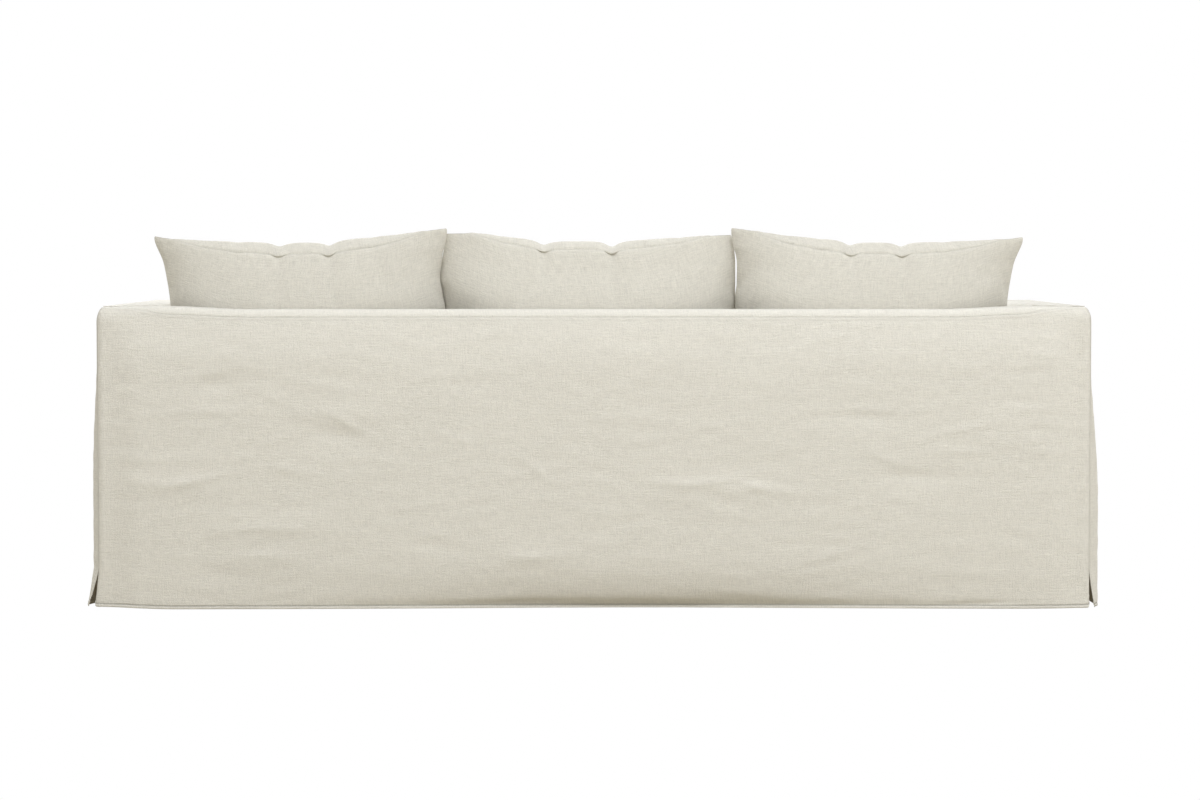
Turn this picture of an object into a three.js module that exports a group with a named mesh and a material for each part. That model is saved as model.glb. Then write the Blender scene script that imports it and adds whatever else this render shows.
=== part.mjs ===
// Fitted slipcover for a three-seat sofa with square arms, and its three loose back pillows.
//
// Millimetres, +Z up. The front of the sofa faces -Y and its "left" is the sitter's left, at +X.
// The sofa itself isn't part of this object: the cover is a hollow shell of sewn linen panels, open
// at the floor, that drops over the frame. Every sewn panel is a sheet of its own, and two sheets
// that share a seam stay a hair apart. The shell is worked out in a floor frame, with z = 0 at the
// hem, and the exported group moves it so that the origin lies where the frame's top rail holds it.
import * as THREE from "three";

const degrees = (angle) => (angle * Math.PI) / 180;

// ---- Cloth ----
const CLOTH = 2; // thickness of the linen
const HEM_CLOTH = 3; // thickness where the hem is turned up
const HEM_HEIGHT = 9;
const SEAM_GAP = 0.4; // clearance between two pieces that are sewn or rest together

// ---- Shell ----
const DEPTH = 960; // front to back
const ARM_TOP = 683; // height of the arms, and of the back over the arms
const INNER_HALF = 990; // from the middle to the inner face of each arm
const BACK_THICKNESS = 150; // at the top rail
const BACK_SAG = 7; // the top rail's cloth hangs this much lower between the arms
const SAG_RUN = 200; // length over which it comes down
const EDGE_PLAN = 18; // how far a rounded edge reaches in, seen from above
const EDGE_TOP = 36; // how far a rounded top edge reaches down
const SEAT_TOP = 425;
const SEAT_TUCK = 13; // the seat's cloth is tucked down this much beside the arms and back
const SEAT_NOSE = 32; // radius of the seat's front edge
const BACK_RAKE = 0.15; // the inner back comes forward this much for each unit down
const APRON_SETBACK = 12; // the front panel lies this far behind the arm fronts
const INNER_ARM_FOOT = 380; // the inner arm panels end here, hidden below the seat
const INNER_BACK_FOOT = 400;

const BACK_PLANE = DEPTH / 2;
const FRONT_PLANE = -DEPTH / 2;
const RAIL_INNER = BACK_PLANE - BACK_THICKNESS;
const CORE_DEPTH = BACK_PLANE - EDGE_PLAN; // half depth of the flat top's outline
const INNER_CORE = INNER_HALF + EDGE_PLAN; // where the arms' flat tops end towards the seat
const RAIL_CORE = RAIL_INNER + EDGE_PLAN; // where the rail's flat top ends towards the seat
const WALL_TOP = ARM_TOP - EDGE_TOP; // where the straight walls end and the top rounding starts

// The two outer arm faces aren't alike. halfWidth is the plain wall's. The cloth bellies out beside the
// back seam, from bellyStart downwards, and its free corner at the vent stands out by ventFlare more.
const LEFT = { sign: 1, halfWidth: 1127, belly: 15, bellyStart: 700, bellyFall: 420, ventFlare: 22 };
const RIGHT = { sign: -1, halfWidth: 1121.5, belly: 23, bellyStart: 600, bellyFall: 360, ventFlare: 11 };
const BELLY_RUN = 34; // the belly is full at this distance from a corner seam

// ---- Seams and vents ----
const VENT_HEIGHT = 90; // the corner seams are left open below this height
const VENT_CURL = 1.1; // 1 opens them as a straight wedge, more curls their lower ends outwards
const VENT_REACH = 90; // how far along the side panel its free corner stands out
const SEAM_HIGH = degrees(80); // how far round the top edge the seam climbs at an outer corner
const SEAM_LOW = degrees(33); // and where it lies away from the corners
const SEAM_RUN = 150; // length over which it comes down again
const HEM_LIFT = 5; // the hem is this much higher at the corners
const HEM_LIFT_RUN = 160;

// Soft folds of the loose cloth, on the wall's height and width: middle, half sizes, and how far each
// one stands out, or lies in.
const BACK_FOLDS = [
  { across: 955, up: 283, wide: 110, tall: 34, out: 3 },
  { across: 729, up: 183, wide: 140, tall: 34, out: 3 },
  { across: 740, up: 112, wide: 90, tall: 28, out: 2.5 },
  { across: 555, up: 441, wide: 80, tall: 36, out: 2.6 },
  { across: 582, up: 388, wide: 90, tall: 32, out: -3 },
  { across: 841, up: 511, wide: 80, tall: 34, out: -3 },
  { across: 141, up: 120, wide: 90, tall: 30, out: 2.4 },
  { across: -267, up: 270, wide: 150, tall: 34, out: 3 },
  { across: -371, up: 325, wide: 90, tall: 30, out: -2.6 },
  { across: -719, up: 300, wide: 110, tall: 36, out: -3 },
  { across: -606, up: 441, wide: 100, tall: 36, out: -3 },
  { across: -930, up: 400, wide: 90, tall: 60, out: 2.4 },
  { across: -290, up: 0, wide: 620, tall: 34, out: -7 },
];
const SIDE_FOLDS = [
  { across: 250, up: 430, wide: 150, tall: 60, out: 4 },
  { across: -40, up: 280, wide: 190, tall: 60, out: -4 },
  { across: -270, up: 420, wide: 120, tall: 80, out: 3 },
];
const APRON_FOLDS = [
  { across: 560, up: 210, wide: 240, tall: 50, out: 3 },
  { across: -80, up: 190, wide: 260, tall: 50, out: -3 },
  { across: -640, up: 220, wide: 220, tall: 50, out: 3 },
];

// ---- Pillows ----
// low and high are where the top corners ("ears") end, and drawnLow and drawnHigh how far the sides are
// drawn in below them. crest is the line of the top, from the high end down, without its gathers. back
// is how far the rear face swells from the middle plane, and forward how far that plane is set forward.
const PILLOW_FRONT = 104; // how far a front face swells from the middle plane
const PILLOW_EDGE = 2.5; // half thickness of the seamed edge
const EAR_LENGTH = 70;
const FOOT_ROUND = 22; // how far the lower corners are rounded in
const PILLOWS = [
  {
    name: "pillow_left",
    low: 341,
    high: 1021,
    drawnLow: 17,
    drawnHigh: 41,
    back: 78,
    crest: [
      { across: 1021, up: 844 },
      { across: 930, up: 838 },
      { across: 790, up: 834 },
      { across: 660, up: 833 },
      { across: 560, up: 841 },
      { across: 430, up: 854 },
      { across: 341, up: 862 },
    ],
    gathers: [
      { across: 731, depth: 13, reach: 24 },
      { across: 615, depth: 12, reach: 22 },
    ],
  },
  {
    name: "pillow_middle",
    low: -315,
    high: 345,
    drawnLow: -8,
    drawnHigh: -6,
    back: 94,
    crest: [
      { across: 345, up: 850 },
      { across: 285, up: 853 },
      { across: 190, up: 844 },
      { across: 60, up: 836 },
      { across: -40, up: 836 },
      { across: -180, up: 844 },
      { across: -315, up: 847 },
    ],
    gathers: [
      { across: 120, depth: 14, reach: 26 },
      { across: -38, depth: 16, reach: 22 },
    ],
  },
  {
    name: "pillow_right",
    low: -992,
    high: -313,
    drawnLow: 40,
    drawnHigh: 17,
    back: 78,
    crest: [
      { across: -313, up: 863 },
      { across: -440, up: 849 },
      { across: -540, up: 841 },
      { across: -650, up: 833 },
      { across: -750, up: 834 },
      { across: -880, up: 837 },
      { across: -992, up: 842 },
    ],
    gathers: [
      { across: -589, depth: 9, reach: 24 },
      { across: -708, depth: 12, reach: 22 },
    ],
  },
];

// ---- Finish ----
const LINEN = { color: 0xd7d3c7, roughness: 0.95, metalness: 0 };

// ---------------------------------------------------------------- small helpers
const clamp = (value, low, high) => Math.min(high, Math.max(low, value));
const mix = (a, b, t) => a + (b - a) * t;
const smooth = (t) => clamp(t, 0, 1) ** 2 * (3 - 2 * clamp(t, 0, 1));
const bell = (distance, reach) => Math.exp(-((distance / reach) ** 2));
const point = (x, y, z) => new THREE.Vector3(x, y, z);
const steps = (a, b, count) => Array.from({ length: count + 1 }, (_, i) => mix(a, b, i / count));

// How far a wall's folds stand out at one place.
const foldsAt = (folds, across, up) =>
  folds.reduce((sum, f) => sum + f.out * bell(across - f.across, f.wide) * bell(up - f.up, f.tall), 0);

// ---------------------------------------------------------------- solids from grids
// Joins two grids of points, each a list of columns run one after the other, into one closed solid.
// facing is 1 where columns x rows points out of the first grid, and -1 where it points in.
function gridSolid(name, front, rear, columns, rows, facing) {
  const faces = [];
  const behind = front.length;
  const id = (i, j) => i * rows + j;
  const quad = (a, b, c, d) => {
    if (facing > 0) faces.push(a, b, c, a, c, d);
    else faces.push(a, c, b, a, d, c);
  };
  for (let i = 0; i + 1 < columns; i++) {
    for (let j = 0; j + 1 < rows; j++) {
      const corners = [id(i, j), id(i + 1, j), id(i + 1, j + 1), id(i, j + 1)];
      quad(...corners);
      quad(...corners.reverse().map((k) => k + behind));
    }
  }
  const wall = (a, b) => quad(a, a + behind, b + behind, b);
  for (let i = 0; i + 1 < columns; i++) {
    wall(id(i, 0), id(i + 1, 0));
    wall(id(i + 1, rows - 1), id(i, rows - 1));
  }
  for (let j = 0; j + 1 < rows; j++) {
    wall(id(0, j + 1), id(0, j));
    wall(id(columns - 1, j), id(columns - 1, j + 1));
  }
  const geometry = new THREE.BufferGeometry().setFromPoints([...front, ...rear]).setIndex(faces);
  geometry.computeVertexNormals();
  const mesh = new THREE.Mesh(geometry, new THREE.MeshStandardMaterial(LINEN));
  mesh.name = name;
  return mesh;
}

// A sewn panel. surface(u, v) is its outer face, defined a little past its ends too, us and vs the
// values at the grid's columns and rows, and facing as above. Its edges are drawn in by half a seam gap.
function sheet(name, surface, us, vs, facing, thickness = () => CLOTH) {
  const nudge = 1e-4;
  const rows = vs.length;
  const grid = us.flatMap((u) => vs.map((v) => ({ u, v, at: surface(u, v) })));
  const front = grid.map((g) => g.at.clone());
  const pullIn = (edge, inside) => {
    front[edge].add(grid[inside].at.clone().sub(grid[edge].at).setLength(SEAM_GAP / 2));
  };
  us.forEach((_, i) => {
    pullIn(i * rows, i * rows + 1);
    pullIn(i * rows + rows - 1, i * rows + rows - 2);
  });
  const last = (us.length - 1) * rows;
  vs.forEach((_, j) => {
    pullIn(j, rows + j);
    pullIn(last + j, last - rows + j);
  });
  const rear = grid.map(({ u, v }, k) => {
    const along = surface(u + nudge, v).sub(surface(u - nudge, v));
    const up = surface(u, v + nudge).sub(surface(u, v - nudge));
    const inwards = along.cross(up).setLength(-facing * thickness(v));
    return front[k].clone().add(inwards);
  });
  return gridSolid(name, front, rear, us.length, rows, facing);
}

// ---------------------------------------------------------------- the shell's form
// All walls share one rounded form: a flat top, whose outline is the "core", edges that turn down from it,
// and straight walls below. A point of a turned edge lies (dx, dy) out from the core, in units of the edge.
function onEdge(coreX, coreY, dx, dy, top) {
  const reach = Math.min(1, Math.hypot(dx, dy));
  const drop = EDGE_TOP * (1 - Math.sqrt(1 - reach * reach));
  return point(coreX + EDGE_PLAN * dx, coreY + EDGE_PLAN * dy, top - drop);
}

// A point of a wall. row runs from 0 at its foot to 1 where the edge starts, and on to 2 at the seam.
function onWall(coreX, coreY, angle, row, top, seam, foot = 0) {
  const reach = row > 1 ? Math.cos((row - 1) * seam) : 1;
  const at = onEdge(coreX, coreY, reach * Math.cos(angle), reach * Math.sin(angle), top);
  if (row <= 1) at.z = mix(foot, top - EDGE_TOP, row);
  return at;
}

// A corner between two edges: ax and ay say how far over each edge a point is, from 0 to 1.
function overCorner(ax, ay) {
  const length = Math.hypot(ax, ay);
  const reach = Math.max(Math.abs(ax), Math.abs(ay));
  return length > 0 ? { dx: (ax * reach) / length, dy: (ay * reach) / length } : { dx: 0, dy: 0 };
}

const coreHalf = (side) => side.halfWidth - EDGE_PLAN;
const topAt = (x) => ARM_TOP - BACK_SAG * smooth((INNER_HALF - Math.abs(x)) / SAG_RUN);
const seamTurn = (fromCorner) => mix(SEAM_HIGH, SEAM_LOW, smooth(fromCorner / SEAM_RUN));
const innerBackAt = (z) => RAIL_INNER - BACK_RAKE * (WALL_TOP - z);
const flatShare = (c) => clamp(c, -1, 1);
const pastCorner = (c) => Math.max(0, Math.abs(c) - 1); // 0 on the flat, 1 at the end of the corner

// Loose cloth keeps still at its seams.
const loose = (fromCorner, z) => smooth(fromCorner / 90) * smooth((WALL_TOP - z) / 70);
const hemLift = (fromCorner, z) => HEM_LIFT * (1 - smooth(fromCorner / HEM_LIFT_RUN)) * smooth(1 - z / 200);

// ---- Rows and columns ----
const EDGE_ROWS = steps(1, 2, 4).slice(1);
const wallRows = (heights) => [...heights.map((z) => z / WALL_TOP), 1, ...EDGE_ROWS];
const HEM_ROWS = [0, HEM_HEIGHT, HEM_HEIGHT + 1.5];
const BACK_ROWS = wallRows([...HEM_ROWS, 45, VENT_HEIGHT, 130, 175, 225, 275, 325, 375, 425, 475, 525, 585]);
const SIDE_ROWS = wallRows([...HEM_ROWS, 45, VENT_HEIGHT, 160, 240, 330, 420, 510, 590]);
const FRONT_ROWS = wallRows([...HEM_ROWS, 45, VENT_HEIGHT, 300]);
const INNER_ROWS = [0, 0.5, 1, ...EDGE_ROWS];

const BACK_COLUMNS = [-0.98, -0.95, -0.92, ...steps(-0.88, 0.88, 22), 0.92, 0.95, 0.98];
const DEPTH_COLUMNS = [-0.97, -0.94, -0.88, -0.8, ...steps(-0.66, 0.66, 6), 0.8, 0.88, 0.94, 0.97];
const SEAT_COLUMNS = [-1, -0.975, -0.95, -0.925, ...steps(-0.84, 0.84, 8), 0.925, 0.95, 0.975, 1];
const withCorners = (columns) => [-2, -1.5, -1, ...columns, 1, 1.5, 2];

const hemThickness = (row) => (row * WALL_TOP <= HEM_HEIGHT + 0.01 ? HEM_CLOTH : CLOTH);

// ---------------------------------------------------------------- outer walls
const sideOf = (x) => (x >= 0 ? LEFT : RIGHT);

// Outer back: c runs along +X, and past 1 round the corner to its seam.
function outerBack(c, row) {
  const side = sideOf(c);
  const x = flatShare(c) * coreHalf(side);
  const fromCorner = coreHalf(side) - Math.abs(x);
  const angle = Math.PI / 2 - Math.sign(c) * degrees(45) * pastCorner(c);
  const at = onWall(x, CORE_DEPTH, angle, row, topAt(x), seamTurn(fromCorner));
  if (row < 1) at.y += foldsAt(BACK_FOLDS, x, at.z) * loose(fromCorner, at.z);
  if (row < 1) at.z += hemLift(fromCorner, at.z);
  return at;
}

// Outer face of one arm: c runs along +Y, and round both corners. Its lower corners stand out.
function outerArm(side, c, row) {
  const y = flatShare(c) * CORE_DEPTH;
  const fromCorner = CORE_DEPTH - Math.abs(y);
  const angle = Math.sign(c) * degrees(45) * pastCorner(c);
  const at = onWall(coreHalf(side), y, angle, row, ARM_TOP, seamTurn(fromCorner));
  if (row < 1) {
    const belly = side.belly * smooth((side.bellyStart - at.z) / side.bellyFall);
    const settled = smooth((WALL_TOP - at.z) / 60);
    const open = clamp(1 - at.z / VENT_HEIGHT, 0, 1) ** VENT_CURL;
    at.x += belly * smooth(fromCorner / BELLY_RUN) * settled;
    at.x += side.ventFlare * open * bell(fromCorner, VENT_REACH);
    at.x += foldsAt(SIDE_FOLDS, y, at.z) * loose(fromCorner, at.z);
    at.z += hemLift(fromCorner, at.z);
  }
  at.x *= side.sign;
  return at;
}

// Front of one arm: c runs from the seat's side (-) to the outer side (+). It turns fully round the
// corner towards the seat, and halfway round the outer one.
function armFront(side, c, row) {
  const x = mix(INNER_CORE, coreHalf(side), (flatShare(c) + 1) / 2);
  const fromOuter = coreHalf(side) - x;
  const fromCorner = Math.min(fromOuter, x - INNER_CORE);
  const turned = c > 0 ? degrees(45) * pastCorner(c) : -degrees(90) * pastCorner(c);
  const angle = -Math.PI / 2 + turned;
  const at = onWall(x, -CORE_DEPTH, angle, row, ARM_TOP, seamTurn(fromCorner));
  if (row < 1) at.z += hemLift(fromOuter, at.z);
  at.x *= side.sign;
  return at;
}

// ---------------------------------------------------------------- inner walls
// Inner face of one arm: c runs from the front (-1) to the raked inner back (1).
function innerArm(side, c, row) {
  const reach = row > 1 ? Math.cos((row - 1) * SEAM_LOW) : 1;
  const share = (c + 1) / 2;
  const seam = seamTurn(share * (RAIL_CORE + CORE_DEPTH));
  const at = onWall(INNER_CORE, 0, Math.PI, row, ARM_TOP, seam, INNER_ARM_FOOT);
  const rear = row > 1 ? RAIL_CORE - EDGE_PLAN * reach : innerBackAt(at.z);
  at.y = mix(-CORE_DEPTH, rear, share);
  at.x *= side.sign;
  return at;
}

// Inner back: c runs along +X between the arms.
function innerBack(c, row) {
  const reach = row > 1 ? Math.cos((row - 1) * SEAM_LOW) : 1;
  const x = c * (INNER_CORE - EDGE_PLAN * reach);
  const at = onWall(x, RAIL_CORE, -Math.PI / 2, row, topAt(x), SEAM_LOW, INNER_BACK_FOOT);
  if (row <= 1) at.y = innerBackAt(at.z + ARM_TOP - topAt(x));
  at.x = x;
  return at;
}

// ---------------------------------------------------------------- top bands
// across runs from the outer seam (0) to the flat (1), over it (2), and down to the inner seam (3).
const BAND_ACROSS = [0, 0.5, 1, 1.5, 2, 2.5, 3];

// How far over its outer edge (positive) or inner edge (negative) a band is.
function bandOver(across, outerSeam, innerSeam) {
  if (across < 1) return Math.cos(mix(outerSeam, Math.PI / 2, across));
  if (across > 2) return -Math.cos(mix(innerSeam, Math.PI / 2, 3 - across));
  return 0;
}

// Band over the back's rail: c is the share of its length along +X, and its ends are mitred.
function railBand(c, across) {
  const side = sideOf(c);
  const share = Math.abs(c);
  const outerX = share * coreHalf(side);
  const over = bandOver(across, seamTurn(coreHalf(side) - outerX), SEAM_LOW);
  const flat = clamp(across - 1, 0, 1);
  const y = mix(CORE_DEPTH, RAIL_CORE, flat);
  if (over < 0) {
    const x = share * (INNER_CORE + EDGE_PLAN * over);
    return onEdge(side.sign * x, y, 0, over, topAt(x));
  }
  const x = share * mix(coreHalf(side), INNER_CORE, flat);
  const mitred = share > 1 - 1e-9 ? over : 0;
  const { dx, dy } = overCorner(mitred, over);
  return onEdge(side.sign * x, y, side.sign * dx, dy, topAt(x));
}

// Band over one arm: row runs from the mitre (0) along the flat to the front corners (1), and on over the
// front edge to its seam (2).
function armBand(side, row, across) {
  const along = clamp(row, 0, 1);
  const flat = clamp(across - 1, 0, 1);
  const x = mix(coreHalf(side), INNER_CORE, flat);
  const outerY = mix(CORE_DEPTH, -CORE_DEPTH, along);
  const outerSeam = seamTurn(CORE_DEPTH - Math.abs(outerY));
  const innerSeam = seamTurn((1 - along) * (RAIL_CORE + CORE_DEPTH));
  const ax = bandOver(across, outerSeam, innerSeam);
  const fromCorner = Math.min(coreHalf(side) - x, x - INNER_CORE);
  const ay = -Math.cos(mix(Math.PI / 2, seamTurn(fromCorner), clamp(row - 1, 0, 1)));
  const mitred = row < 1e-9 && ax > 0 ? ax : 0;
  const { dx, dy } = overCorner(ax, row > 1 ? ay : mitred);
  const mitreY = mix(CORE_DEPTH, RAIL_CORE, flat) - (ax < 0 ? -ax * EDGE_PLAN : 0);
  const y = mix(mitreY, -CORE_DEPTH, along);
  const at = onEdge(x, y, dx, dy, ARM_TOP);
  at.x *= side.sign;
  return at;
}

// ---------------------------------------------------------------- seat and apron
const APRON_PLANE = FRONT_PLANE + APRON_SETBACK;
const SEAT_HALF = INNER_HALF - SEAM_GAP / 2;

// Height of the seat's cloth at a distance from the nearer arm and from the inner back.
function seatHeight(x, fromBack) {
  const tuck = Math.max(1 - smooth((INNER_HALF - Math.abs(x)) / 70), 1 - smooth(fromBack / 40));
  return SEAT_TOP - SEAT_TUCK * tuck;
}

// Seat: row runs from the foot of the nose (-1) over it (0) and back to the inner back (1).
function seat(c, row) {
  const x = c * SEAT_HALF;
  const noseY = APRON_PLANE + SEAT_NOSE;
  const rearY = innerBackAt(SEAT_TOP - SEAT_TUCK) - SEAM_GAP / 2;
  const turn = (clamp(-row, 0, 1.01) * Math.PI) / 2;
  const y = row < 0 ? noseY - SEAT_NOSE * Math.sin(turn) : mix(noseY, rearY, row);
  return point(x, y, seatHeight(x, rearY - y) - SEAT_NOSE * (1 - Math.cos(turn)));
}

// Front panel between the arms, from the hem to the foot of the seat's nose.
function apron(c, row) {
  const x = c * SEAT_HALF;
  const z = row * (seatHeight(x, DEPTH) - SEAT_NOSE);
  const still = smooth((SEAT_HALF - Math.abs(x)) / 90) * smooth((1 - row) / 0.2);
  return point(x, APRON_PLANE - foldsAt(APRON_FOLDS, x, z) * still, z);
}

// ---------------------------------------------------------------- pillows
// Height of a pillow's top, with its gathers.
function crestAt(spec, x) {
  const from = spec.crest.findIndex((p, k) => k > 0 && x >= p.across - 1e-6);
  const next = spec.crest[from < 0 ? spec.crest.length - 1 : from];
  const before = spec.crest[(from < 0 ? spec.crest.length - 1 : from) - 1];
  const line = mix(before.up, next.up, (before.across - x) / (before.across - next.across));
  return spec.gathers.reduce((up, g) => up - g.depth * bell(x - g.across, g.reach), line);
}

// A filled pillow: two faces that swell from a sheared middle plane, meeting in a thin seamed edge.
function pillow(spec) {
  const foot = SEAT_TOP + SEAM_GAP;
  const shares = steps(-1, 1, 24);
  const heights = [0, 0.05, 0.14, 0.3, 0.5, 0.67, 0.8, 0.89, 0.95, 0.98, 1];
  const planeFoot = innerBackAt(foot) - spec.back - PILLOW_EDGE - SEAM_GAP;
  const drawnIn = (below) => 1 - Math.exp(-below / EAR_LENGTH);
  const face = (depth) =>
    shares.flatMap((s) =>
      heights.map((t) => {
        const top = crestAt(spec, mix(spec.low, spec.high, (s + 1) / 2));
        const z = mix(foot, top, t);
        const rounded = FOOT_ROUND * Math.exp(-(z - foot) / FOOT_ROUND);
        const low = spec.low + spec.drawnLow * drawnIn(top - z) + rounded;
        const high = spec.high - spec.drawnHigh * drawnIn(top - z) - rounded;
        const x = mix(low, high, (s + 1) / 2);
        const plump = (1 - Math.abs(s) ** 3) ** 0.6 * (1 - t ** 5) ** 0.6;
        const squashed = 0.6 + 0.4 * smooth(t / 0.2);
        const gathered = spec.gathers.reduce((sum, g) => sum + g.depth * bell(x - g.across, g.reach * 1.3), 0);
        const swell = depth * plump * squashed * (1 - 0.012 * gathered * t ** 4);
        const y = planeFoot + BACK_RAKE * (z - foot) + Math.sign(depth) * PILLOW_EDGE + swell;
        return point(x, y, z);
      }),
    );
  return gridSolid(spec.name, face(-PILLOW_FRONT), face(spec.back), shares.length, heights.length, 1);
}

// ---------------------------------------------------------------- the set
function armPanels(side, word) {
  const depthShares = DEPTH_COLUMNS.map((c) => (1 - c) / 2).reverse();
  const bandRows = [0, ...depthShares, 1, 1.5, 2];
  return [
    sheet(`outer_arm_${word}`, (c, r) => outerArm(side, c, r), withCorners(DEPTH_COLUMNS), SIDE_ROWS,
      side.sign, hemThickness),
    sheet(`inner_arm_${word}`, (c, r) => innerArm(side, c, r), [-1, ...DEPTH_COLUMNS, 1], INNER_ROWS, -side.sign),
    sheet(`arm_front_${word}`, (c, r) => armFront(side, c, r),
      [-2, -1.67, -1.33, -1, 0, 1, 1.5, 2], FRONT_ROWS, side.sign, hemThickness),
    sheet(`arm_band_${word}`, (r, a) => armBand(side, r, a), bandRows, BAND_ACROSS, side.sign),
  ];
}

const sewn = [
  sheet("outer_back", outerBack, withCorners(BACK_COLUMNS), BACK_ROWS, -1, hemThickness),
  sheet("inner_back", innerBack, [-1, ...BACK_COLUMNS, 1], INNER_ROWS, 1),
  sheet("rail_band", railBand, [-1, ...BACK_COLUMNS, 1], BAND_ACROSS, -1),
  ...armPanels(LEFT, "left"),
  ...armPanels(RIGHT, "right"),
  sheet("seat", seat, SEAT_COLUMNS, [-1, -0.67, -0.33, 0, 0.3, 0.6, 0.9, 0.95, 1], 1),
  sheet("apron", apron, SEAT_COLUMNS, [0, 0.024, 0.028, 0.2, 0.4, 0.6, 0.8, 1], 1,
    (row) => (row < 0.026 ? HEM_CLOTH : CLOTH)),
];

// The origin lies under the rail band's cloth, at the middle of the rail.
const slipcover = new THREE.Group();
slipcover.position.set(0, -(BACK_PLANE + RAIL_INNER) / 2, -(topAt(0) - CLOTH));
slipcover.add(...sewn, ...PILLOWS.map(pillow));

const part = new THREE.Group();
part.add(slipcover);
export default part;
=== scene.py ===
"""Loose fitted linen slipcover of a three-seat sofa, with its three filled back pillows.

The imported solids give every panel's place. Each panel is made again here as a fine sheet of cloth on
the same form, with its seams, hem, stitches and creases, and each pillow as a filled, gathered body.
Lengths are metres. Shapes are worked out in the cover's floor frame (z = 0 at the hem, y = 0 halfway
between front and back) and moved to the row frame as the meshes are made.
"""

from __future__ import annotations

import logging
import math
from dataclasses import dataclass, field
from enum import Enum
from typing import Callable, Sequence

import bpy
import numpy as np
from mathutils import Euler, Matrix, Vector

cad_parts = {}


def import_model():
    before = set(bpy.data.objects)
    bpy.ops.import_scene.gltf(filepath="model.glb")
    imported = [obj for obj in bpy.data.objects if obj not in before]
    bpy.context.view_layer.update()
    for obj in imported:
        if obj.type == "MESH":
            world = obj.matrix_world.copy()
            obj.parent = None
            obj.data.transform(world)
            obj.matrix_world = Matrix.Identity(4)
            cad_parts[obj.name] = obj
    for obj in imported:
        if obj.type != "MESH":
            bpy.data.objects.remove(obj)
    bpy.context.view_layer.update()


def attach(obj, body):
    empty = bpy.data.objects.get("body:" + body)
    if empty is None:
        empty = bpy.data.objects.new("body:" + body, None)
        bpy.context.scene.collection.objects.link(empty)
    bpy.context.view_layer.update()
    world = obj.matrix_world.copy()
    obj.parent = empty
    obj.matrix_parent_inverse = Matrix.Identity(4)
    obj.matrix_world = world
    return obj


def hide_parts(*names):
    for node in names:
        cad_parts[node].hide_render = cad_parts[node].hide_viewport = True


LOG = logging.getLogger("slipcover")
Array = np.ndarray
Surface = Callable[[Array, Array], Array]
Line = tuple[tuple[float, float], ...]
Place = tuple[float, float, float]
Colour = tuple[float, float, float]
Pattern = tuple[float, float, float, float]
Inputs = dict[str | int, object]

BODY = "root"
MM = 1000  # millimetres in a metre
WHITE = (1.0, 1.0, 1.0, 1.0)


# ---------------------------------------------------------------- small maths
def smooth(t: Array | float) -> Array:
    """Return a soft step from 0 to 1 as t goes from 0 to 1."""
    s = np.clip(t, 0.0, 1.0)
    return s * s * (3.0 - 2.0 * s)


def ramp(value: Array, start: float, run: float) -> Array:
    """Return a soft step from 0 where the value is at start to 1 where it is a run further on."""
    return smooth((value - start) / run)


def bell(distance: Array, reach: float) -> Array:
    """Return a soft bump, 1 at no distance and nearly 0 past twice the reach."""
    return np.exp(-((distance / reach) ** 2))


def mix(a: Array | float, b: Array | float, t: Array | float) -> Array:
    """Return the value a share t of the way from a to b."""
    return a + (b - a) * t


def points(x: Array, y: Array, z: Array) -> Array:
    """Stack three coordinate grids into one grid of points."""
    return np.stack(np.broadcast_arrays(x, y, z), axis=-1).astype(float)


def runs(*stops: tuple[float, int]) -> Array:
    """Return values in even steps between stops.

    Args:
        stops: pairs of a value and the number of steps from the stop before it.

    Returns:
        The values from the first stop to the last, each once.
    """
    values = [stops[0][0]]
    for (start, _), (end, count) in zip(stops, stops[1:]):
        values.extend(np.linspace(start, end, count + 1)[1:])
    return np.array(values)


def over_edge(row: Array, seam: Array | float) -> Array:
    """Return a wall's reach out from its core: 1 up to row 1, then less, round the edge, to row 2."""
    return np.where(row > 1, np.cos((row - 1) * seam), 1.0)


# ---------------------------------------------------------------- the shell's form
@dataclass(frozen=True)
class Side:
    """One end of the sofa: sign is 1 at the sitter's left.

    The cloth bellies out below the arm. At the corner vent the side panel stands out by vent_flare, its
    free edge by edge_flare more, and the back panel's edge slips outwards by back_slip. The hem rises by
    hem_lift towards the corners.
    """

    word: str
    sign: int
    half_width: float
    belly: float
    belly_start: float
    belly_fall: float
    vent_flare: float
    edge_flare: float
    back_slip: float
    hem_lift: float


LEFT = Side("left", 1, 1.127, 0.015, 0.700, 0.420, 0.0145, 0.0090, 0.0090, 0.0045)
RIGHT = Side("right", -1, 1.1215, 0.023, 0.645, 0.410, 0.0, 0.0125, 0.0010, 0.0010)


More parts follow.
